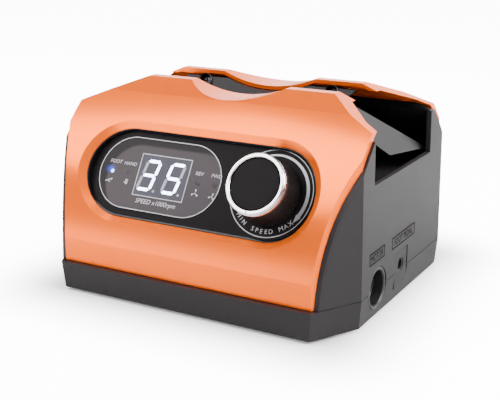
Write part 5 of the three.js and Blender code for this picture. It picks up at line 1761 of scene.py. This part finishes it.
class StageSettings(bpy.types.PropertyGroup):
    """Camera, floor and lights"""

    azimuth: FloatProperty(
        name="Azimuth", description="Camera to the right of the front", default=math.radians(29.444),
        subtype="ANGLE",
    )
    elevation: FloatProperty(
        name="Elevation", description="Camera above the horizon", default=math.radians(16.623),
        subtype="ANGLE",
    )
    distance: length("Distance", "Camera from its aim", 469.886)
    aim: FloatVectorProperty(
        name="Aim", description="Point the camera looks at", default=(-0.002434, -0.000061, 0.033838),
        subtype="TRANSLATION", unit="LENGTH",
    )
    lens: FloatProperty(name="Lens", description="Focal length in millimetres", default=71.98)
    floor_glow: FloatProperty(name="Floor glow", description="Floor's glow away from the unit", default=12.0)
    bounce_glow: FloatProperty(name="Bounce glow", description="Light off the floor", default=3.8)
    backdrop_glow: FloatProperty(name="Backdrop glow", description="Backdrop brightness", default=16.0)
    sheen_glow: FloatProperty(name="Sheen glow", description="Brightness mirrored from behind", default=1.5)
    ambient: FloatProperty(name="Ambient", description="Light from all round", default=0.12)
    key_watts: FloatProperty(name="Key", description="Soft box at the front left", default=16, unit="POWER")
    right_watts: FloatProperty(
        name="Right side", description="Soft box at the right", default=30, unit="POWER"
    )
    top_watts: FloatProperty(name="Top", description="Soft box overhead", default=6, unit="POWER")


# ---- Operators and panel ----------------------------------------------------------------------------------


class UNIT_OT_dress(bpy.types.Operator):
    """Give the CAD nodes their finishes"""

    bl_idname = "unit.dress"
    bl_label = "Dress the CAD nodes"

    def execute(self, context):
        dress_cad_nodes()
        return {"FINISHED"}


class UNIT_OT_fascias(bpy.types.Operator):
    """Build the two fascias and the window's liner"""

    bl_idname = "unit.fascias"
    bl_label = "Fascias"

    def execute(self, context):
        sizes = context.scene.unit_fascia
        build_front_fascia(sizes)
        build_rear_fascia(sizes)
        build_window_liner(sizes)
        return {"FINISHED"}


class UNIT_OT_housing(bpy.types.Operator):
    """Build the shell, tray and cradle with rounded edges"""

    bl_idname = "unit.housing"
    bl_label = "Shell, tray and cradle"

    def execute(self, context):
        build_housing(context.scene.unit_housing)
        build_cradle(context.scene.unit_housing)
        return {"FINISHED"}


class UNIT_OT_knob(bpy.types.Operator):
    """Build the speed knob"""

    bl_idname = "unit.knob"
    bl_label = "Speed knob"

    def execute(self, context):
        build_knob(context.scene.unit_knob)
        return {"FINISHED"}


class UNIT_OT_display(bpy.types.Operator):
    """Build the display, the indicator lights and the panel's prints"""

    bl_idname = "unit.display"
    bl_label = "Display and prints"

    def execute(self, context):
        build_display(context.scene.unit_panel)
        build_prints(context.scene.unit_panel)
        return {"FINISHED"}


class UNIT_OT_sockets(bpy.types.Operator):
    """Build the side sockets and their labels"""

    bl_idname = "unit.sockets"
    bl_label = "Side sockets"

    def execute(self, context):
        build_sockets(context.scene.unit_housing)
        build_labels()
        return {"FINISHED"}


class UNIT_OT_service(bpy.types.Operator):
    """Build the service pan with its inlet, fuse and switch"""

    bl_idname = "unit.service"
    bl_label = "Service pan"

    def execute(self, context):
        build_service_pan(context.scene.unit_housing)
        return {"FINISHED"}


class UNIT_OT_fixings(bpy.types.Operator):
    """Build the screws and the rubber feet"""

    bl_idname = "unit.fixings"
    bl_label = "Screws and feet"

    def execute(self, context):
        build_screws()
        build_feet()
        return {"FINISHED"}


class UNIT_OT_stage(bpy.types.Operator):
    """Set up the floor, the lights and the camera"""

    bl_idname = "unit.stage"
    bl_label = "Stage"

    def execute(self, context):
        build_stage(context.scene.unit_stage)
        return {"FINISHED"}


OPERATORS = (
    UNIT_OT_dress, UNIT_OT_fascias, UNIT_OT_housing, UNIT_OT_knob, UNIT_OT_display, UNIT_OT_sockets,
    UNIT_OT_service, UNIT_OT_fixings, UNIT_OT_stage,
)


class UNIT_PT_panel(bpy.types.Panel):
    """Lists the steps that build the unit"""

    bl_label = "Control unit"
    bl_idname = "UNIT_PT_panel"
    bl_space_type = "VIEW_3D"
    bl_region_type = "UI"
    bl_category = "Control unit"

    def draw(self, context):
        for step in OPERATORS:
            self.layout.operator(step.bl_idname)


SETTINGS = {
    "unit_fascia": FasciaSizes, "unit_housing": HousingSizes, "unit_knob": KnobSizes,
    "unit_panel": PanelSizes, "unit_look": LookSettings, "unit_stage": StageSettings,
}


def register():
    for group in SETTINGS.values():
        bpy.utils.register_class(group)
    for step in OPERATORS:
        bpy.utils.register_class(step)
    bpy.utils.register_class(UNIT_PT_panel)
    for name, group in SETTINGS.items():
        setattr(bpy.types.Scene, name, bpy.props.PointerProperty(type=group))


def unregister():
    for name in SETTINGS:
        delattr(bpy.types.Scene, name)
    bpy.utils.unregister_class(UNIT_PT_panel)
    for step in reversed(OPERATORS):
        bpy.utils.unregister_class(step)
    for group in SETTINGS.values():
        bpy.utils.unregister_class(group)


def main():
    register()
    bpy.ops.unit.dress()
    bpy.ops.unit.fascias()
    bpy.ops.unit.housing()
    bpy.ops.unit.knob()
    bpy.ops.unit.display()
    bpy.ops.unit.sockets()
    bpy.ops.unit.service()
    bpy.ops.unit.fixings()
    bpy.ops.unit.stage()


if __name__ == "__main__":
    main()
